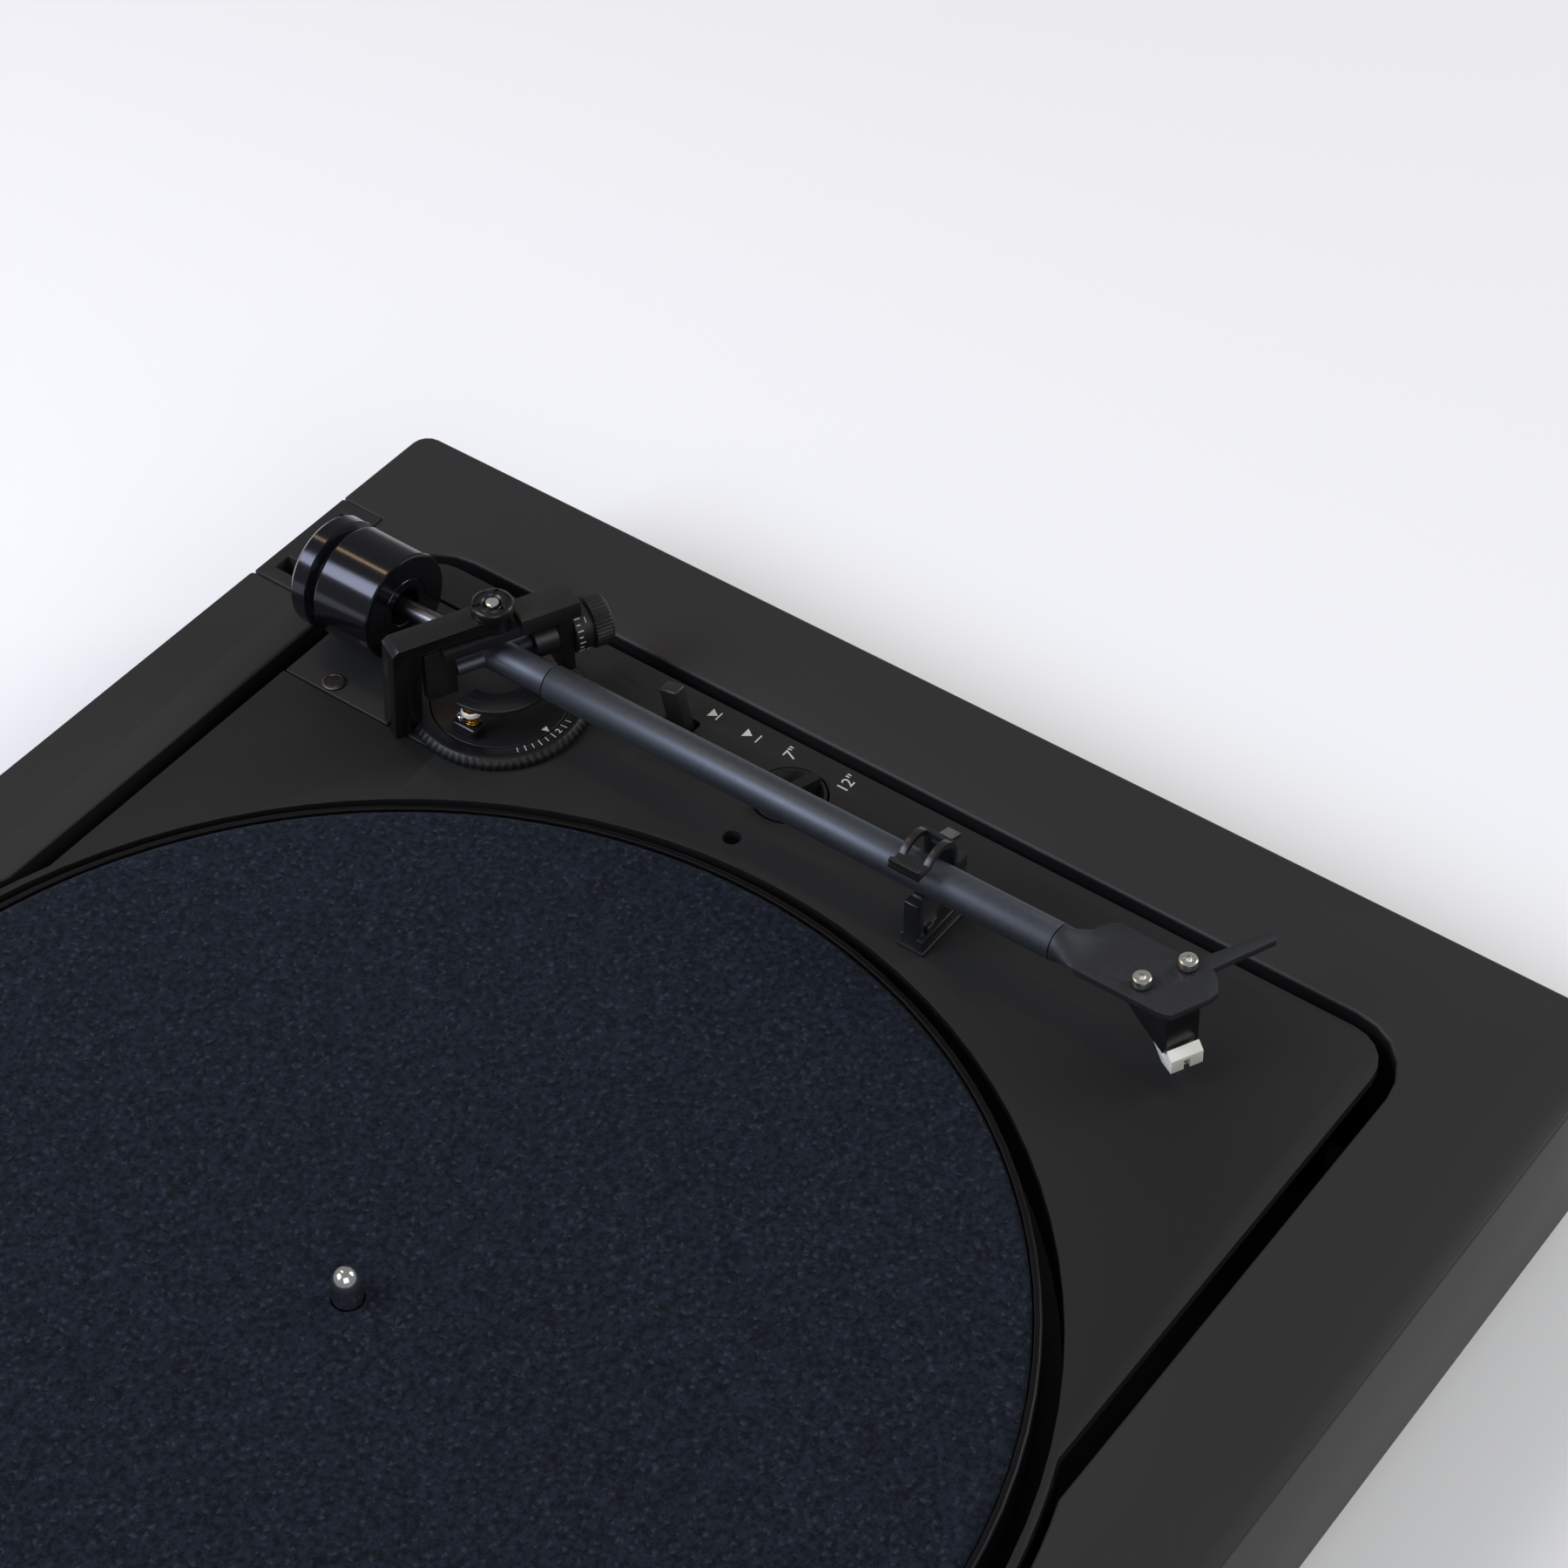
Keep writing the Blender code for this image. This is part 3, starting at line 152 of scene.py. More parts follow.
def lacquer(name, colour, roughness, peel_size=1.11, cloud_size=111.0):
    """Sprayed lacquer: a fine orange peel about 1 mm across and slow, darker clouds in the sheen."""
    material = bpy.data.materials.new(name)
    material.use_nodes = True
    shader = material.node_tree.nodes["Principled BSDF"]
    place = add_node(material, "ShaderNodeTexCoord").outputs["Object"]
    cloud = add_node(material, "ShaderNodeTexNoise", {"Scale": per_metre(cloud_size), "Detail": 3.0},
                     {"Vector": place})
    shade = add_node(material, "ShaderNodeMix", {"data_type": "RGBA", 6: tint(colour[0]), 7: tint(colour[1])},
                     {0: cloud.outputs["Fac"]})
    peel = add_node(material, "ShaderNodeTexNoise", {"Scale": per_metre(peel_size), "Detail": 2.0},
                    {"Vector": place})
    bump = add_node(material, "ShaderNodeBump", {"Strength": 0.06, "Distance": 0.0002},
                    {"Height": peel.outputs["Fac"]})
    dull = add_node(material, "ShaderNodeMapRange", {"To Min": roughness - 0.05, "To Max": roughness + 0.06},
                    {"Value": cloud.outputs["Fac"]})
    material.node_tree.links.new(shade.outputs[2], shader.inputs["Base Color"])
    material.node_tree.links.new(bump.outputs["Normal"], shader.inputs["Normal"])
    material.node_tree.links.new(dull.outputs["Result"], shader.inputs["Roughness"])
    shader.inputs["Specular IOR Level"].default_value = 0.35
    return material


def refined(name, node, material, body, ease, smooth=34.0):
    """A merged copy of a CAD solid, its edges sharper than smooth degrees eased by a bevel in mm."""
    weld, flat_angle = 0.005 * mm, 0.8
    deselect()
    piece = bpy.data.objects.new(name, nodes[node].data.copy())
    bpy.context.scene.collection.objects.link(piece)
    piece.select_set(True)
    bpy.context.view_layer.objects.active = piece
    bpy.ops.object.mode_set(mode="EDIT")
    bpy.ops.mesh.select_all(action="SELECT")
    bpy.ops.mesh.remove_doubles(threshold=weld)
    bpy.ops.mesh.dissolve_limited(angle_limit=math.radians(flat_angle))
    bpy.ops.object.mode_set(mode="OBJECT")
    edge = piece.modifiers.new("ease", "BEVEL")
    edge.width = ease * mm
    edge.segments = 2
    edge.limit_method = "ANGLE"
    edge.angle_limit = math.radians(smooth)
    bpy.ops.object.modifier_apply(modifier="ease")
    bpy.ops.object.shade_smooth_by_angle(angle=math.radians(smooth))
    piece.data.materials.clear()
    piece.data.materials.append(material)
    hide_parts(node)
    if body:
        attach(piece, body)
    return piece


frame_lacquer = lacquer("satin_black_lacquer", ("#242425", "#292929"), 0.50)
board_paint = lacquer("painted_board", ("#1c1c1c", "#222222"), 0.70)
shell = refined("plinth_shell", "plinth_frame", frame_lacquer, "base", 0.9)
# The upright walls inside the opening take a near-black lacquer: painted shade that darkens the gap between
# the frame and the deck.
shell.data.materials.append(lacquer("painted_shade_wall_lacquer", ("#060607", "#0a0a0b"), 0.60))
shell_low, shell_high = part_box("plinth_frame")
rail, upright_slope = 20 * mm, 0.3
# Faces on the opening's upright walls get the painted-shade lacquer in material slot 1.
for face in shell.data.polygons:
    inside = (shell_low[0] + rail < face.center.x < shell_high[0] - rail
              and shell_low[1] + rail < face.center.y < shell_high[1] - rail)
    if inside and abs(face.normal.z) < upright_slope:
        face.material_index = 1
refined("base_board", "bottom_plate", board_paint, "base", 0.6)


# ---------------------------------------------------------------- mouldings let into the plinth
# The dust cover's two hinge sockets and the socket panel are injection-moulded
# ABS with a fine spark-eroded grain, which scatters light in a soft haze.
def moulded(name, colour, roughness, grain=0.714, depth=0.25, shine=0.4):
    """A moulded or sprayed surface: grain in mm breaks up the gloss, slow flow marks shift the colour."""
    flow_size = 25.0
    material = bpy.data.materials.new(name)
    material.use_nodes = True
    shader = material.node_tree.nodes["Principled BSDF"]
    place = add_node(material, "ShaderNodeTexCoord").outputs["Object"]
    grit = add_node(material, "ShaderNodeTexNoise",
                    {"Scale": per_metre(grain), "Detail": 3.0, "Roughness": 0.6}, {"Vector": place})
    flow = add_node(material, "ShaderNodeTexNoise", {"Scale": per_metre(flow_size), "Detail": 2.0},
                    {"Vector": place})
    deep = tint(colour)
    pale = tuple(min(1.0, c * 1.25 + 0.0004) for c in deep[:3]) + (1.0,)
    shade = add_node(material, "ShaderNodeMix", {"data_type": "RGBA", 6: deep, 7: pale},
                     {0: flow.outputs["Fac"]})
    bump = add_node(material, "ShaderNodeBump", {"Strength": depth, "Distance": 0.0001},
                    {"Height": grit.outputs["Fac"]})
    dull = add_node(material, "ShaderNodeMapRange",
                    {"To Min": max(0.05, roughness - 0.05), "To Max": min(1.0, roughness + 0.05)},
                    {"Value": flow.outputs["Fac"]})
    material.node_tree.links.new(shade.outputs[2], shader.inputs["Base Color"])
    material.node_tree.links.new(bump.outputs["Normal"], shader.inputs["Normal"])
    material.node_tree.links.new(dull.outputs["Result"], shader.inputs["Roughness"])
    shader.inputs["Specular IOR Level"].default_value = shine
    return material


grained_abs = moulded("grained_black_abs", "#1a1a1b", 0.62)
for side in ("left", "right"):
    refined("cover_hinge_socket_" + side, "hinge_socket_" + side, grained_abs, "base", 0.5)
refined("rear_socket_panel", "socket_panel", grained_abs, "base", 0.2)
# Nitrile rubber takes no polish, so the feet stay duller than any plastic here.
soft_rubber = moulded("nitrile_rubber", "#131313", 0.85, 1.43, 0.3, 0.25)
corners = [end + "_" + side for end in ("front", "rear") for side in ("left", "right")]
for corner in corners:
    refined("foot_%s_rubber" % corner, "foot_" + corner, soft_rubber, "base", 0.8)


# ---------------------------------------------------------------- rear sockets
# Two turned signal sockets on a common bar, a ground post and the power inlet,
# all set back in the recess at the rear.
def bright_metal(name, colour, roughness, streak=(1.0, 1.0, 60.0), grain=8.33):
    """Turned or drawn metal: grain in mm, squeezed into fine streaks, varies the polish."""
    material = bpy.data.materials.new(name)
    material.use_nodes = True
    shader = material.node_tree.nodes["Principled BSDF"]
    place = add_node(material, "ShaderNodeTexCoord").outputs["Object"]
    stretch = add_node(material, "ShaderNodeMapping", {"Scale": streak}, {"Vector": place})
    lines = add_node(material, "ShaderNodeTexNoise", {"Scale": per_metre(grain), "Detail": 4.0},
                     {"Vector": stretch.outputs["Vector"]})
    dull = add_node(material, "ShaderNodeMapRange", {"To Min": roughness * 0.7, "To Max": roughness * 1.4},
                    {"Value": lines.outputs["Fac"]})
    bump = add_node(material, "ShaderNodeBump", {"Strength": 0.08, "Distance": 0.00005},
                    {"Height": lines.outputs["Fac"]})
    material.node_tree.links.new(dull.outputs["Result"], shader.inputs["Roughness"])
    material.node_tree.links.new(bump.outputs["Normal"], shader.inputs["Normal"])
    shader.inputs["Base Color"].default_value = tint(colour)
    shader.inputs["Metallic"].default_value = 1.0
    return material


plated_steel = bright_metal("nickel_plated_steel", "#cfcfcc", 0.22)
refined("signal_sockets", "audio_sockets", plated_steel, "base", 0.15)
refined("ground_post", "ground_terminal", plated_steel, "base", 0.2)
# The inlet's moulding comes from a polished tool, so it takes sharper reflections.
glossy_abs = moulded("glossy_black_abs", "#0f0f11", 0.20, 1.11, 0.03, 0.5)
refined("power_jack", "power_inlet", glossy_abs, "base", 0.2)


# ---------------------------------------------------------------- deck panel
# The floating deck is a 3 mm board in the same lacquer as the plinth, a shade
# darker, with the arm's mount plate let into it; one sunk screw holds the plate.
deck_lacquer = lacquer("deck_lacquer", ("#141414", "#191919"), 0.54)
refined("deck_panel", "chassis_panel", deck_lacquer, "subchassis", 0.5)
refined("mount_plate", "arm_mount_plate", deck_lacquer, "subchassis", 0.4)


def shift(x, y, z):
    """A move in mm."""
    return Matrix.Translation((x * mm, y * mm, z * mm))


def swing(degrees, axis="Z"):
    """A turn about an axis, in degrees."""
    return Matrix.Rotation(math.radians(degrees), 4, axis)


def lathe(name, rings, sides, place, material, hollow=False, crisp=38):
    """Rings of (radius, height) in mm, each drawn out of the last; hollow joins the last to the first."""
    deselect()
    radius, height = rings[0]
    bpy.ops.mesh.primitive_circle_add(vertices=sides, radius=radius, location=(0, 0, height))
    piece = bpy.context.object
    piece.name = name
    bpy.ops.object.transform_apply(location=True, rotation=True, scale=True)
    bpy.ops.object.mode_set(mode="EDIT")
    bpy.ops.mesh.select_all(action="SELECT")
    for wide, tall in rings[1:]:
        bpy.ops.mesh.extrude_region_move(TRANSFORM_OT_translate={"value": (0, 0, tall - height)})
        bpy.ops.transform.resize(value=(wide / radius, wide / radius, 1), center_override=(0, 0, tall))
        radius, height = wide, tall
    bpy.ops.mesh.select_all(action="DESELECT")
    bpy.ops.mesh.select_non_manifold()
    if hollow:
        bpy.ops.mesh.bridge_edge_loops()
    else:
        bpy.ops.mesh.fill_holes(sides=0)
    bpy.ops.mesh.select_all(action="SELECT")
    bpy.ops.mesh.normals_make_consistent(inside=False)
    bpy.ops.object.mode_set(mode="OBJECT")
    piece.matrix_world = place @ Matrix.Scale(mm, 4)
    bpy.ops.object.transform_apply(location=True, rotation=True, scale=True)
    bpy.ops.object.shade_smooth_by_angle(angle=math.radians(crisp))
    piece.data.materials.append(material)
    return piece


def stand(piece, body, slot, *replaced):
    """Attach a finished piece to the body that carries it and hide the CAD solids it stands for; slot is not
    used.
    """
    if replaced:
        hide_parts(*replaced)
    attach(piece, body)
    return piece


def cut_away(piece, tools):
    """Cut the tools out of a piece and delete them."""
    for tool in tools:
        deselect()
        piece.select_set(True)
        bpy.context.view_layer.objects.active = piece
        cut = piece.modifiers.new("cut", "BOOLEAN")
        cut.object = tool
        cut.solver = "EXACT"
        bpy.ops.object.modifier_apply(modifier="cut")
        bpy.data.objects.remove(tool, do_unlink=True)
    deselect()
    piece.select_set(True)
    bpy.context.view_layer.objects.active = piece
    bpy.ops.object.shade_smooth_by_angle(angle=math.radians(38))


def centre_of(node):
    """The middle of a CAD node's box, in metres."""
    low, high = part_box(node)
    return (Vector(low) + Vector(high)) / 2


def bar(name, size, place, material, ease=0.1):
    """A straight bar in mm with eased edges, standing in a frame given in metres."""
    deselect()
    bpy.ops.mesh.primitive_cube_add(size=1.0)
    piece = bpy.context.object
    piece.name = name
    piece.matrix_world = place @ Matrix.Diagonal((*(side * mm for side in size), 1.0))
    bpy.ops.object.transform_apply(location=True, rotation=True, scale=True)
    if ease:
        bpy.ops.object.mode_set(mode="EDIT")
        bpy.ops.mesh.select_all(action="SELECT")
        bpy.ops.mesh.bevel(offset=ease * mm, segments=2)
        bpy.ops.object.mode_set(mode="OBJECT")
    piece.data.materials.append(material)
    return piece


blackened_steel = bright_metal("blackened_steel", "#6e6e70", 0.32)
screw_centre = centre_of("mount_plate_screw")
screw_seat = Matrix.Translation((screw_centre.x, screw_centre.y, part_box("mount_plate_screw")[0][2]))
screw_rings = [(3.0, 0.0), (3.0, 0.18), (2.75, 0.28), (2.45, 0.28), (2.35, 0.12), (2.2, 0.12), (2.1, 0.30),
               (1.0, 0.30)]
plate_screw = lathe("plate_screw", screw_rings, 40, screw_seat, blackened_steel)
cross_length, cross_width, cross_depth = 2.4, 0.5, 0.5
cross_place = screw_seat @ shift(0, 0, 0.4) @ swing(34.4)
cut_away(plate_screw, [bar("cross_cut", (*blade, cross_depth), cross_place, blackened_steel, 0)
                       for blade in ((cross_length, cross_width), (cross_width, cross_length))])
stand(plate_screw, "subchassis", "bright_steel", "mount_plate_screw")


# ---------------------------------------------------------------- printed legends
# Light grey pad printing on the deck: lift and lower signs and the record sizes
# beside the selector, which read towards the right-hand edge.
print_ink = moulded("pad_printing_ink", "#b9b9b6", 0.6, 1.11, 0.05, 0.3)
ink_film = 0.04
joints = {joint["name"]: joint for joint in frame["joints"]}
spindle_axis = Vector(joints["platter_spin"]["pos_m"])
deck_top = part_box("chassis_panel")[1][2]


def on_deck(x, y):
    """A frame on the deck, its place in mm from the spindle."""
    return Matrix.Translation((spindle_axis.x, spindle_axis.y, deck_top)) @ shift(x, y, ink_film)


def printed(name, words, size, place, material):
    """Lettering of a size in mm, raised by the thickness of the ink."""
    deselect()
    bpy.ops.object.text_add()
    piece = bpy.context.object
    piece.data.body = words
    piece.data.size = size * mm
    piece.data.extrude = ink_film / 2 * mm
    piece.data.align_x = "CENTER"
    piece.data.align_y = "CENTER"
    piece.data.resolution_u = 6
    bpy.ops.object.convert(target="MESH")
    piece = bpy.context.object
    piece.name = name
    piece.matrix_world = place
    bpy.ops.object.transform_apply(location=True, rotation=True, scale=True)
    piece.data.materials.clear()
    piece.data.materials.append(material)
    return piece


def joined(name, pieces):
    """Pieces of one body made one object."""
    deselect()
    for piece in pieces:
        piece.select_set(True)
    bpy.context.view_layer.objects.active = pieces[0]
    bpy.ops.object.join()
    pieces[0].name = name
    return pieces[0]


def triangle(place, width, height, material):
    """A flat triangle that points down its frame's -Y."""
    deselect()
    bpy.ops.mesh.primitive_cylinder_add(vertices=3, radius=1.0, depth=ink_film)
    piece = bpy.context.object
    unit_width, unit_height = 1.732, 1.5
    shape = Matrix.Diagonal((width * mm / unit_width, height * mm / unit_height, mm, 1.0))
    piece.matrix_world = place @ shape @ swing(180)
    bpy.ops.object.transform_apply(location=True, rotation=True, scale=True)
    piece.data.materials.append(material)
    return piece


sign_width, sign_height, line_width, line_thick = 3.1, 2.3, 2.9, 0.36
signs = []
for sign_place, line_gap in ((on_deck(193.1, 47.5), 1.4), (on_deck(192.4, 36.2), 2.9)):
    signs += [triangle(sign_place @ shift(0, 0.5, 0), sign_width, sign_height, print_ink),
              bar("sign_line", (line_width, line_thick, ink_film), sign_place @ shift(0, -line_gap, 0),
                  print_ink, 0)]
stand(joined("cue_signs", signs), "subchassis", "white_plastic")
stand(printed("size_seven", '7"', 4.8, on_deck(193.3, 23.4), print_ink), "subchassis", "white_plastic")
stand(printed("size_twelve", '12"', 4.6, on_deck(192.8, 6.2), print_ink), "subchassis", "white_plastic")


# ---------------------------------------------------------------- platter and mat
# The platter is turned aluminium, anodised black, with a bright catch of light
# on its rim's corner; the mat is pressed navy wool felt flecked with paler fibre.
def anodised(name, colour, roughness, streak=(1.0, 1.0, 1.0), grain_size=3.33):
    """Bead-blasted and dyed aluminium: dark but metallic, with a faint grain of a size in mm."""
    material = bpy.data.materials.new(name)
    material.use_nodes = True
    shader = material.node_tree.nodes["Principled BSDF"]
    place = add_node(material, "ShaderNodeTexCoord").outputs["Object"]
    stretch = add_node(material, "ShaderNodeMapping", {"Scale": streak}, {"Vector": place})
    grain = add_node(material, "ShaderNodeTexNoise", {"Scale": per_metre(grain_size), "Detail": 4.0},
                     {"Vector": stretch.outputs["Vector"]})
    deep = tint(colour)
    pale = tuple(c * 1.3 for c in deep[:3]) + (1.0,)
    shade = add_node(material, "ShaderNodeMix", {"data_type": "RGBA", 6: deep, 7: pale},
                     {0: grain.outputs["Fac"]})
    dull = add_node(material, "ShaderNodeMapRange", {"To Min": roughness * 0.85, "To Max": roughness * 1.15},
                    {"Value": grain.outputs["Fac"]})
    bump = add_node(material, "ShaderNodeBump", {"Strength": 0.05, "Distance": 0.00004},
                    {"Height": grain.outputs["Fac"]})
    material.node_tree.links.new(shade.outputs[2], shader.inputs["Base Color"])
    material.node_tree.links.new(dull.outputs["Result"], shader.inputs["Roughness"])
    material.node_tree.links.new(bump.outputs["Normal"], shader.inputs["Normal"])
    shader.inputs["Metallic"].default_value = 0.85
    return material


platter_black = anodised("black_anodised_platter", "#1b1b1d", 0.38)
refined("platter_casting", "platter", platter_black, "platter", 0.3, 30.0)

# Tufts and flecks are drawn about three times as coarse as wool's, so that they show.
tuft_size, fleck_size = 1.613, 2.381
felt = bpy.data.materials.new("pressed_wool_felt")
felt.use_nodes = True
felt_shader = felt.node_tree.nodes["Principled BSDF"]
felt_place = add_node(felt, "ShaderNodeTexCoord").outputs["Object"]
tufts = add_node(felt, "ShaderNodeTexNoise",
                 {"Scale": per_metre(tuft_size), "Detail": 6.0, "Roughness": 0.75}, {"Vector": felt_place})
warp = add_node(felt, "ShaderNodeMix", {"data_type": "VECTOR", 0: 0.004},
                {4: felt_place, 5: tufts.outputs["Color"]})
flecks = add_node(felt, "ShaderNodeTexVoronoi", {"Scale": per_metre(fleck_size), "Randomness": 1.0},
                  {"Vector": warp.outputs[1]})
fleck_lift = add_node(felt, "ShaderNodeMapRange",
                      {"From Min": 0.0, "From Max": 0.32, "To Min": 0.75, "To Max": 0.0},
                      {"Value": flecks.outputs["Distance"]})
base_mix = add_node(felt, "ShaderNodeValToRGB", {}, {"Fac": tufts.outputs["Fac"]})
base_mix.color_ramp.elements[0].position = 0.40
base_mix.color_ramp.elements[0].color = tint("#080a0f")
base_mix.color_ramp.elements[1].position = 0.64
base_mix.color_ramp.elements[1].color = tint("#1e2531")
pale_mix = add_node(felt, "ShaderNodeMix", {"data_type": "RGBA", 7: tint("#3a414c")},
                    {0: fleck_lift.outputs["Result"], 6: base_mix.outputs["Color"]})
fuzz = add_node(felt, "ShaderNodeBump", {"Strength": 0.9, "Distance": 0.0005},
                {"Height": tufts.outputs["Fac"]})
felt.node_tree.links.new(pale_mix.outputs[2], felt_shader.inputs["Base Color"])
felt.node_tree.links.new(fuzz.outputs["Normal"], felt_shader.inputs["Normal"])
felt_shader.inputs["Roughness"].default_value = 0.95
felt_shader.inputs["Specular IOR Level"].default_value = 0.15
felt_shader.inputs["Sheen Weight"].default_value = 0.25
felt_shader.inputs["Sheen Tint"].default_value = tint("#566072")

mat_low, mat_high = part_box("felt_mat")
mat_radius = (mat_high[0] - mat_low[0]) / 2 * 1000
mat_thick = (mat_high[2] - mat_low[2]) * 1000
hole_radius, edge_gap, mat_sides, mat_rings = 3.9, 0.05, 640, 118
nap_height, edge_round = 0.2, 2.0
deselect()
bpy.ops.mesh.primitive_circle_add(vertices=mat_sides, radius=mat_radius - edge_gap)
mat = bpy.context.object
mat.name = "felt_slipmat"
bpy.ops.object.mode_set(mode="EDIT")
bpy.ops.mesh.primitive_circle_add(vertices=mat_sides, radius=hole_radius)
bpy.ops.mesh.select_all(action="SELECT")
bpy.ops.mesh.bridge_edge_loops(number_cuts=mat_rings, interpolation="LINEAR")
bpy.ops.mesh.select_all(action="DESELECT")
bpy.ops.mesh.select_non_manifold()
bpy.ops.mesh.extrude_region_move(TRANSFORM_OT_translate={"value": (0, 0, -mat_thick + nap_height)})
bpy.ops.mesh.bridge_edge_loops()
bpy.ops.mesh.select_all(action="SELECT")
bpy.ops.mesh.normals_make_consistent(inside=False)
bpy.ops.object.mode_set(mode="OBJECT")
# The nap stands up in small tufts on slow waves, and the cut edge is worn down.
for vertex in mat.data.vertices:
    if vertex.co.z > -nap_height / 2:
        edge_fall = max(0.0, (vertex.co.xy.length - mat_radius + edge_round) / edge_round)
        tuft = 0.16 * noise.noise(vertex.co * 0.9)
        wave = 0.10 * noise.noise(vertex.co * 0.11)
        vertex.co.z += tuft + wave - edge_fall ** 2
mat_place = Matrix.Translation((spindle_axis.x, spindle_axis.y, mat_high[2])) @ shift(0, 0, -nap_height)
mat.matrix_world = mat_place @ Matrix.Scale(mm, 4)
bpy.ops.object.transform_apply(location=True, rotation=True, scale=True)
bpy.ops.object.shade_smooth_by_angle(angle=math.radians(60))
mat.data.materials.append(felt)
stand(mat, "platter", "felt", "felt_mat")

spindle_low, spindle_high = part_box("spindle")
spindle_steel = bright_metal("ground_steel", "#d6d6d4", 0.15, (1.0, 1.0, 20.0))
spindle_foot = Matrix.Translation((spindle_axis.x, spindle_axis.y, spindle_low[2]))
spindle_length = (spindle_high[2] - spindle_low[2]) * 1000
tip = [(3.52, spindle_length - 4.2), (3.3, spindle_length - 3.0), (2.7, spindle_length - 1.6),
       (1.7, spindle_length - 0.5), (0.7, spindle_length - 0.05)]
foot = [(1.2, 0.0), (3.3, 0.5), (3.52, 1.0)]
stand(lathe("centre_spindle", foot + tip, 48, spindle_foot, spindle_steel),
      "platter", "bright_steel", "spindle")


# ---------------------------------------------------------------- drive under the platter
# The pressed steel well, the moulded sub-platter with its ground rubber belt,
# the motor with its brass pulley, and the cam gear of the automatic in acetal.
well_paint = lacquer("black_enamel", ("#121214", "#18181a"), 0.45)
refined("well_pressing", "platter_well", well_paint, "subchassis", 0.3, 30.0)
refined("bearing_tube", "bearing_housing", plated_steel, "subchassis", 0.3)
zinc = anodised("zinc_motor_can", "#55565a", 0.4)
refined("motor_can", "motor", zinc, "subchassis", 0.8)
refined("sub_platter_moulding", "sub_platter", grained_abs, "platter", 0.3, 30.0)
turned_brass = bright_metal("turned_brass", "#c89b4a", 0.24)
refined("brass_pulley", "motor_pulley", turned_brass, "pulley", 0.12)
refined("flat_belt", "drive_belt", soft_rubber, "subchassis", 0.1, 30.0)
acetal = moulded("white_acetal", "#d8d7d0", 0.4, 1.67, 0.05)
refined("cam_wheel", "cam_gear", acetal, "cam", 0.1)
refined("cam_stud", "cam_post", plated_steel, "subchassis", 0.15)
solder_mask = moulded("solder_mask", "#0f4a22", 0.35, 3.33, 0.1)
refined("board", "circuit_board", solder_mask, "base", 0.1)


# ---------------------------------------------------------------- isolators
# Four moulded rubber sleeves carry the deck from the base board below; each copy is baked in place and
# attached to no body, so it does not stretch as the deck moves.
for corner in corners:
    node = "isolator_" + corner
    sleeve = refined("isolator_sleeve_" + corner, node, soft_rubber, None, 0.3)
    middle = centre_of(node)
    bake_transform(sleeve)


# ---------------------------------------------------------------- arm base and anti-skate ring
# A moulded disc under the arm inside a knurled ring, which turns against a mark
# to set the side force; the ring's scale is printed in fine white lines.
def knurl(piece, axis_place, low, high, depth, count):
    """Press grooves into a turned side: two of every four columns of points move in."""
    undo = axis_place.inverted()
    columns = count * 4
    for vertex in piece.data.vertices:
        local = undo @ vertex.co * 1000
        if not low < local.z < high:
            continue
        column = round(math.atan2(local.y, local.x) / (2 * math.pi) * columns) % 4
        if column in (2, 3):
            flat = Vector((local.x, local.y))
            flat *= (flat.length - depth) / flat.length
            vertex.co = axis_place @ (Vector((flat.x, flat.y, local.z)) * mm)


pivot = Vector(joints["arm_swing"]["pos_m"])
ring_place = Matrix.Translation((pivot.x, pivot.y, deck_top))
# The cap and the lift's housing are polished; the disc and the ring have a finer, duller grain.
gloss_moulding = moulded("polished_black_abs", "#0e0e0f", 0.30, 1.25, 0.05, 0.4)
dial_abs = moulded("fine_grained_abs", "#0f0f10", 0.45, 0.77, 0.10, 0.3)
refined("arm_base_disc", "arm_base", dial_abs, "subchassis", 0.25)
ring_bore, ring_outer, ring_top = 17.9, 23.05, 3.3
ring_rings = [(ring_bore, 0.35), (ring_outer - 0.3, 0.35), (ring_outer, 0.6), (ring_outer, 1.5),
              (ring_outer - 0.35, 2.0), (ring_outer - 1.3, 3.0), (ring_outer - 1.6, 3.2),
              (ring_outer - 2.2, 3.38), (ring_outer - 2.6, ring_top), (ring_bore + 0.3, ring_top),
              (ring_bore, 3.1)]
groove_count, groove_depth = 72, 0.45
ring = lathe("knurled_ring", ring_rings, groove_count * 4, ring_place, dial_abs, hollow=True)
knurl(ring, ring_place, 0.2, 2.5, groove_depth, groove_count)
stand(ring, "skate_ring", "gloss_black_plastic", "anti_skate_ring")

scale_marks = []
scale_radius, scale_start, scale_step, numeral_step = 19.3, -128, 6, 6
for i in range(9):
    spot = ring_place @ swing(scale_start + i * scale_step) @ shift(scale_radius, 0, ring_top + ink_film)
    if i == numeral_step:
        scale_marks.append(printed("numeral", "2", 2.4, spot @ swing(90), print_ink))
    else:
        scale_marks.append(bar("mark", (2.0 if i % 2 else 1.6, 0.18, 0.06), spot, print_ink, 0))
stand(joined("ring_scale", scale_marks), "skate_ring", "white_plastic")
pointer_radius, pointer_angle = 16.3, -97
pointer_place = ring_place @ swing(pointer_angle) @ shift(pointer_radius, 0, 3.22) @ swing(90)
stand(joined("ring_pointer", [triangle(pointer_place, 1.8, 1.9, print_ink)]), "subchassis", "white_plastic")


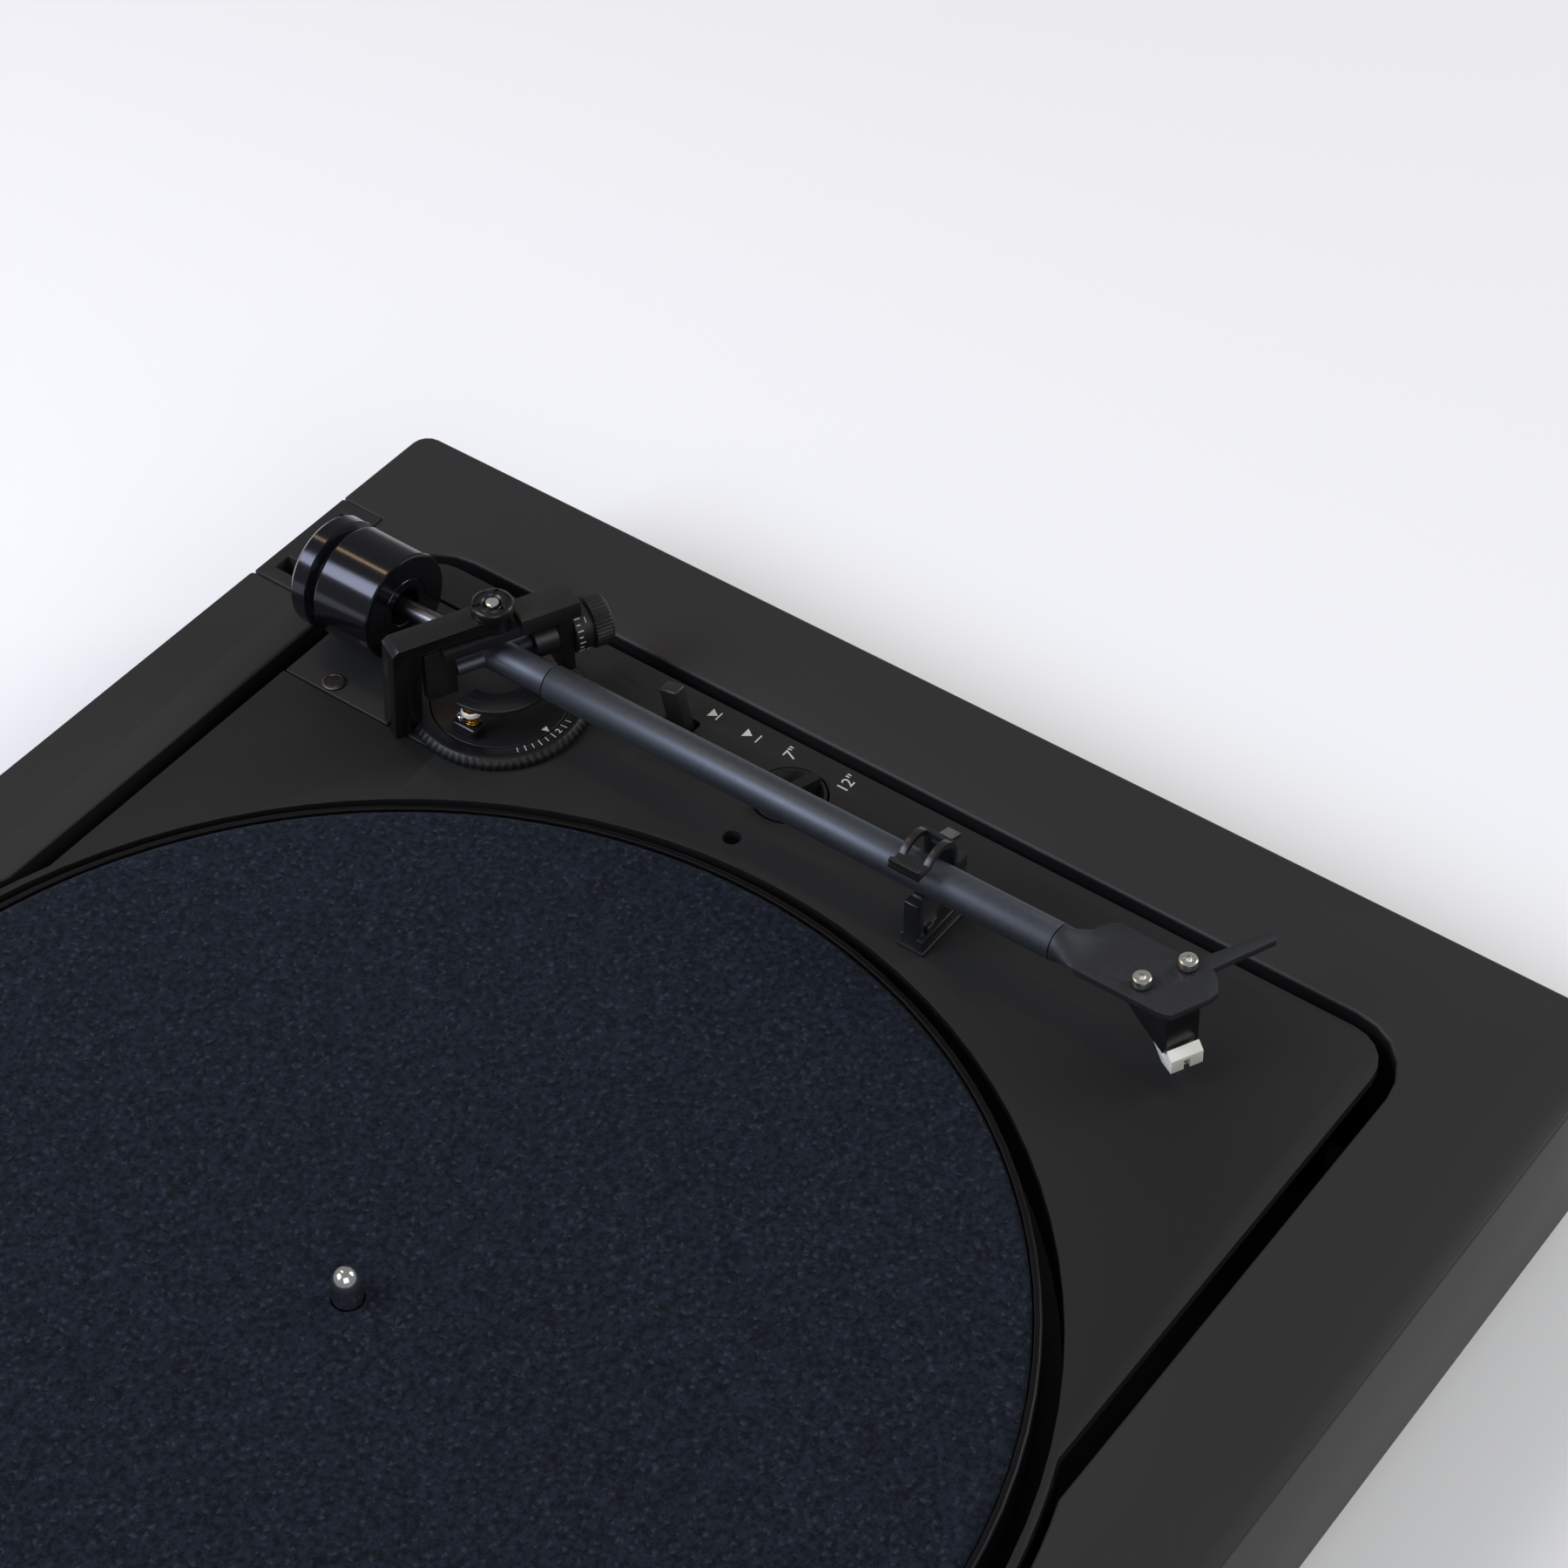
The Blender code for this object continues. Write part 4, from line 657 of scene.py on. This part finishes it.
# ---------------------------------------------------------------- arm lift
# A fan-shaped platform raises the tube; a brass screw with a nylon nut sets how
# low it comes to rest.
satin_abs = moulded("satin_black_abs", "#171718", 0.42, 0.909, 0.12, 0.45)
refined("lift_platform", "lift_plate", satin_abs, "lift", 0.3)
ridge_place = Matrix.Translation((pivot.x, pivot.y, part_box("lift_plate")[1][2]))
ridge_start, ridge_step, ridge_radius = 184, 6, 12.1
ridges = []
for i in range(16):
    spot = ridge_place @ swing(ridge_start + i * ridge_step) @ shift(ridge_radius, 0, 0.1)
    ridges.append(bar("ridge", (0.5, 1.30, 0.3), spot, satin_abs, 0.08))
stand(joined("lift_ridge", ridges), "lift", "matt_black_plastic")
refined("lift_housing", "lift_block", gloss_moulding, "subchassis", 0.5)
refined("height_screw", "lift_screw", turned_brass, "subchassis", 0.12)
nut_centre = centre_of("lift_screw")
nut_height = 1.6
nut_place = (Matrix.Translation((nut_centre.x, nut_centre.y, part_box("lift_screw")[1][2]))
             @ shift(0, 0, -nut_height))
nut = lathe("nylon_nut", [(2.35, 0.0), (2.55, 0.2), (2.55, 1.3), (2.35, 1.5), (0.8, nut_height + 0.02)], 24,
            nut_place, acetal)
stand(nut, "subchassis", "white_plastic")
pin_place = Matrix.Translation((pivot.x, pivot.y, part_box("lift_block")[1][2])) @ shift(-13.1, 1.4, 0)
pin = lathe("lift_stop_pin", [(1.0, -0.2), (1.2, 0.0), (1.2, 0.55), (1.0, 0.75), (0.4, 0.8)], 32, pin_place,
            plated_steel)
stand(pin, "subchassis", "bright_steel")


# ---------------------------------------------------------------- arm bracket and pivot cap
# A die-cast arch carries the arm's upper bearing; its cap has turned rings and
# three notches round a slotted steel screw.
bracket_paint = moulded("gloss_painted_casting", "#0f0f10", 0.21, 2.0, 0.04, 0.5)
refined("bearing_arch", "arm_bracket", bracket_paint, "subchassis", 0.8)
cap_place = Matrix.Translation((pivot.x, pivot.y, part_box("pivot_cap")[0][2]))
cap_rings = [(2.2, 0.0), (5.4, 0.0), (5.4, 1.9), (5.2, 2.3), (4.7, 2.6), (4.4, 2.6), (4.2, 2.25), (3.7, 2.25),
             (3.5, 2.5), (2.9, 2.5), (2.5, 2.0), (2.2, 1.9)]
cap = lathe("bearing_cap", cap_rings, 64, cap_place, gloss_moulding, hollow=True)
cut_away(cap, [bar("notch", (2.0, 0.9, 1.2), cap_place @ swing(25 + 120 * i) @ shift(4.0, 0, 2.6),
                   gloss_moulding, 0) for i in range(3)])
stand(cap, "subchassis", "gloss_black_plastic", "pivot_cap")
polished_steel = bright_metal("polished_steel", "#e4e4e2", 0.14, (1.0, 1.0, 8.0))
pivot_screw = lathe("slotted_screw", [(1.2, 0.0), (1.85, 0.1), (1.85, 2.1), (1.65, 2.5), (1.0, 2.75)], 40,
                    cap_place, polished_steel)
slot_place = cap_place @ shift(0, 0, 2.7) @ swing(35)
cut_away(pivot_screw, [bar("slot", (4.4, 0.5, 1.0), slot_place, polished_steel, 0)])
stand(pivot_screw, "subchassis", "bright_steel", "pivot_screw")


# ---------------------------------------------------------------- gimbal and tracking dial
# The yoke hangs between the arch and the tube; the spring dial on its right end
# sets the stylus force, with a printed scale and a coarsely knurled rim.
refined("gimbal_yoke", "gimbal_frame", satin_abs, "gimbal", 0.45)
dial_axis = Vector(joints["force_set"]["axis"]).normalized()
dial_side = Vector((0, 0, 1)).cross(dial_axis).normalized()
dial_turn = Matrix((dial_side, dial_axis.cross(dial_side), dial_axis)).transposed().to_4x4()
dial_start, barrel_radius = 19.4, 6.25
dial_place = Matrix.Translation(pivot + dial_axis * dial_start * mm) @ dial_turn
dial_rings = [(6.0, 0.0), (barrel_radius, 0.2), (barrel_radius, 4.3), (5.9, 4.5), (5.5, 4.6), (5.5, 4.95),
              (6.0, 5.1), (6.75, 5.4), (6.75, 9.4), (6.5, 9.9), (5.9, 10.3), (5.2, 10.35), (4.9, 10.1),
              (2.0, 10.1)]
rim_grooves, rim_depth = 40, 0.55
dial = lathe("force_dial_knob", dial_rings, rim_grooves * 4, dial_place, satin_abs)
knurl(dial, dial_place, 5.3, 9.7, rim_depth, rim_grooves)
stand(dial, "force_dial", "gloss_black_plastic", "tracking_dial")
ink_radius, short_mark, long_mark = barrel_radius + 0.02, 1.0, 1.5
dial_marks = []
for i in range(24):
    length = short_mark if i % 2 else long_mark
    spot = dial_place @ swing(15 * i) @ shift(ink_radius, 0, 1.1 if i % 2 else 1.3)
    dial_marks.append(bar("mark", (0.06, 0.30, length), spot, print_ink, 0))
for i in range(4):
    spot = dial_place @ swing(90 * i + 37) @ shift(ink_radius, 0, 3.2) @ swing(90, "Y")
    dial_marks.append(printed("numeral", str(i), 2.3, spot, print_ink))
stand(joined("force_scale", dial_marks), "force_dial", "white_plastic")


# ---------------------------------------------------------------- tonearm
# Drawn aluminium tube, blasted and anodised blue-black, held in a slightly
# thinner sleeve; the ground rod behind it carries the counterweight.
arm_axis = Vector(joints["weight_slide"]["axis"]).normalized()
arm_side = Vector((0, 0, 1)).cross(arm_axis).normalized()
arm_frame = (Matrix.Translation(pivot)
             @ Matrix((arm_axis, arm_side, arm_axis.cross(arm_side))).transposed().to_4x4())
along_arm = arm_frame @ swing(90, "Y")
# Blasting spreads the studio's light into one long, soft, bluish streak down the tube.
tube_black = anodised("blue_black_anodised_tube", "#4b4f56", 0.50, grain_size=1.11)
refined("gimbal_sleeve", "arm_sleeve", tube_black, "tonearm", 0.25, 30.0)
tube_end, tube_start, tube_radius = 167.6, 18.0, 4.65
tube_rings = [(tube_radius - 0.5, tube_end), (tube_radius - 0.12, tube_end - 0.05),
              (tube_radius, tube_end - 0.25), (tube_radius, tube_start + 0.25),
              (tube_radius - 0.12, tube_start + 0.05), (tube_radius - 0.5, tube_start)]
stand(lathe("tapered_tube", tube_rings, 72, along_arm, tube_black), "tonearm", "black_anodised", "arm_tube")
rod_steel = bright_metal("blued_rod_steel", "#66666a", 0.34)
refined("balance_rod", "weight_rod", rod_steel, "tonearm", 0.2, 30.0)

weight_front, weight_radius, weight_length = -30.0, 14.6, 26.0
weight_rear = weight_front - weight_length
weight_groove, flange_proud, bore_radius, bore_depth = weight_rear + 8.7, 0.18, 5.0, 5.9
# Polished before it was dyed, so the lamps draw bright, narrow bands along it.
weight_black = anodised("polished_black_anodised", "#2b2b30", 0.15, (1.0, 40.0, 1.0), 16.67)
weight_rings = [(bore_radius, weight_front - bore_depth), (bore_radius, weight_front - 0.2),
                (5.3, weight_front), (7.6, weight_front), (7.7, weight_front - 0.12), (7.9, weight_front),
                (weight_radius - 0.9, weight_front), (weight_radius - 0.35, weight_front - 0.2),
                (weight_radius - 0.15, weight_front - 0.7), (weight_radius, weight_groove),
                (weight_radius - 0.12, weight_groove - 0.35), (weight_radius - 0.4, weight_groove - 0.55),
                (weight_radius - 1.7, weight_groove - 1.7), (weight_radius - 1.8, weight_groove - 2.1),
                (weight_radius - 0.3, weight_groove - 3.15), (weight_radius + 0.05, weight_groove - 3.3),
                (weight_radius + flange_proud, weight_groove - 3.6),
                (weight_radius + flange_proud, weight_rear + 1.1), (weight_radius, weight_rear + 0.8),
                (weight_radius - 0.8, weight_rear), (1.0, weight_rear)]
stand(lathe("counterweight_body", weight_rings, 128, along_arm, weight_black, crisp=16),
      "weight", "black_anodised", "counterweight")
lining_start, lining_end = weight_front - 5.95, weight_front - 6.6
lining_rings = [(2.65, lining_start), (4.9, lining_start), (4.9, lining_end), (2.65, lining_end)]
stand(lathe("weight_bore_lining", lining_rings, 48, along_arm, soft_rubber, hollow=True), "weight", "rubber")


# ---------------------------------------------------------------- head, screws and cartridge
# The head plate is one stamping with the finger lift, drawn round at the neck
# to meet the tube; two socket screws hold the cartridge.
head_black = anodised("anodised_head_plate", "#3b3c3f", 0.56, grain_size=1.11)
refined("head_plate", "headshell", head_black, "tonearm", 0.28, 36.0)
head_screw_steel = bright_metal("stainless_screw", "#d9d7cf", 0.2, (1.0, 1.0, 12.0))
screw_height, shank_length = 2.3, 1.8
head_screw_rings = [(1.05, -shank_length), (1.05, -0.02), (2.1, 0.0), (2.3, 0.2), (2.3, 1.75), (2.18, 2.1),
                    (1.9, 2.28), (1.5, 2.28)]
for side in ("left", "right"):
    node = "cartridge_screw_" + side
    points = [arm_frame.inverted() @ vertex.co for vertex in nodes[node].data.vertices]
    middle = sum(points, Vector()) / len(points)
    top = max(point.z for point in points)
    place = arm_frame @ Matrix.Translation((middle.x, middle.y, top)) @ shift(0, 0, -screw_height)
    screw = lathe("head_screw_" + side, head_screw_rings, 40, place, head_screw_steel)
    cut_away(screw, [lathe("hexagon_cut", [(1.12, 0.9), (1.12, 3.0)], 6, place, head_screw_steel)])
    stand(screw, "tonearm", "bright_steel", node)
refined("cartridge_body", "cartridge", gloss_moulding, "tonearm", 0.3)
ivory_moulding = moulded("ivory_polystyrene", "#d9d8cd", 0.35, 1.43, 0.04, 0.5)
refined("stylus_carrier", "stylus_holder", ivory_moulding, "tonearm", 0.35)
refined("cantilever", "stylus", polished_steel, "tonearm", 0.05)


# ---------------------------------------------------------------- arm rest and latch
# Moulded nylon with soft corners; the latch swings over the tube to keep the
# arm on its saddle.
nylon = moulded("black_nylon", "#131416", 0.34, 1.43, 0.1, 0.5)
refined("rest_moulding", "arm_rest", nylon, "subchassis", 0.35)
refined("latch_moulding", "rest_latch", nylon, "latch", 0.3)
rest_low, rest_high = map(Vector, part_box("arm_rest"))
rest_width, rest_depth = ((rest_high - rest_low) / mm).xy
rest_foot = Matrix.Translation((*((rest_low + rest_high) / 2).xy, deck_top))
flange_margin, flange_thick = 1.4, 0.9
flange = bar("rest_flange", (rest_width + flange_margin, rest_depth + flange_margin, flange_thick),
             rest_foot @ shift(0, 0, 0.65), nylon, 0.25)
stop = bar("rest_stop", (2.6, 3.2, 1.6), rest_foot @ shift(4.7 - rest_width / 2, -0.9, 4.8), nylon, 0.3)
stand(joined("rest_foot", [flange, stop]), "subchassis", "gloss_black_plastic")
latch_low, latch_high = map(Vector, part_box("rest_latch"))
lip_width, lip_height = 1.3, 1.5
lip_place = (Matrix.Translation((latch_low.x, (latch_low.y + latch_high.y) / 2, latch_high.z))
             @ shift(lip_width / 2, 0, -1.3))
lip = bar("latch_lip", (lip_width, (latch_high.y - latch_low.y) / mm, lip_height), lip_place, nylon, 0.35)
stand(joined("latch_tab_lip", [lip]), "latch", "gloss_black_plastic")


# ---------------------------------------------------------------- controls
# Cue lever, record-size selector sunk in its pocket, speed knob and start lever,
# all satin mouldings with small radii.
refined("cue_lever_moulding", "cue_lever", satin_abs, "cue", 0.6)
refined("size_selector_knob", "size_knob", dial_abs, "size_selector", 0.4)
refined("speed_selector_knob", "speed_knob", satin_abs, "speed_selector", 0.5)
refined("start_lever_moulding", "start_lever", satin_abs, "start", 0.6)
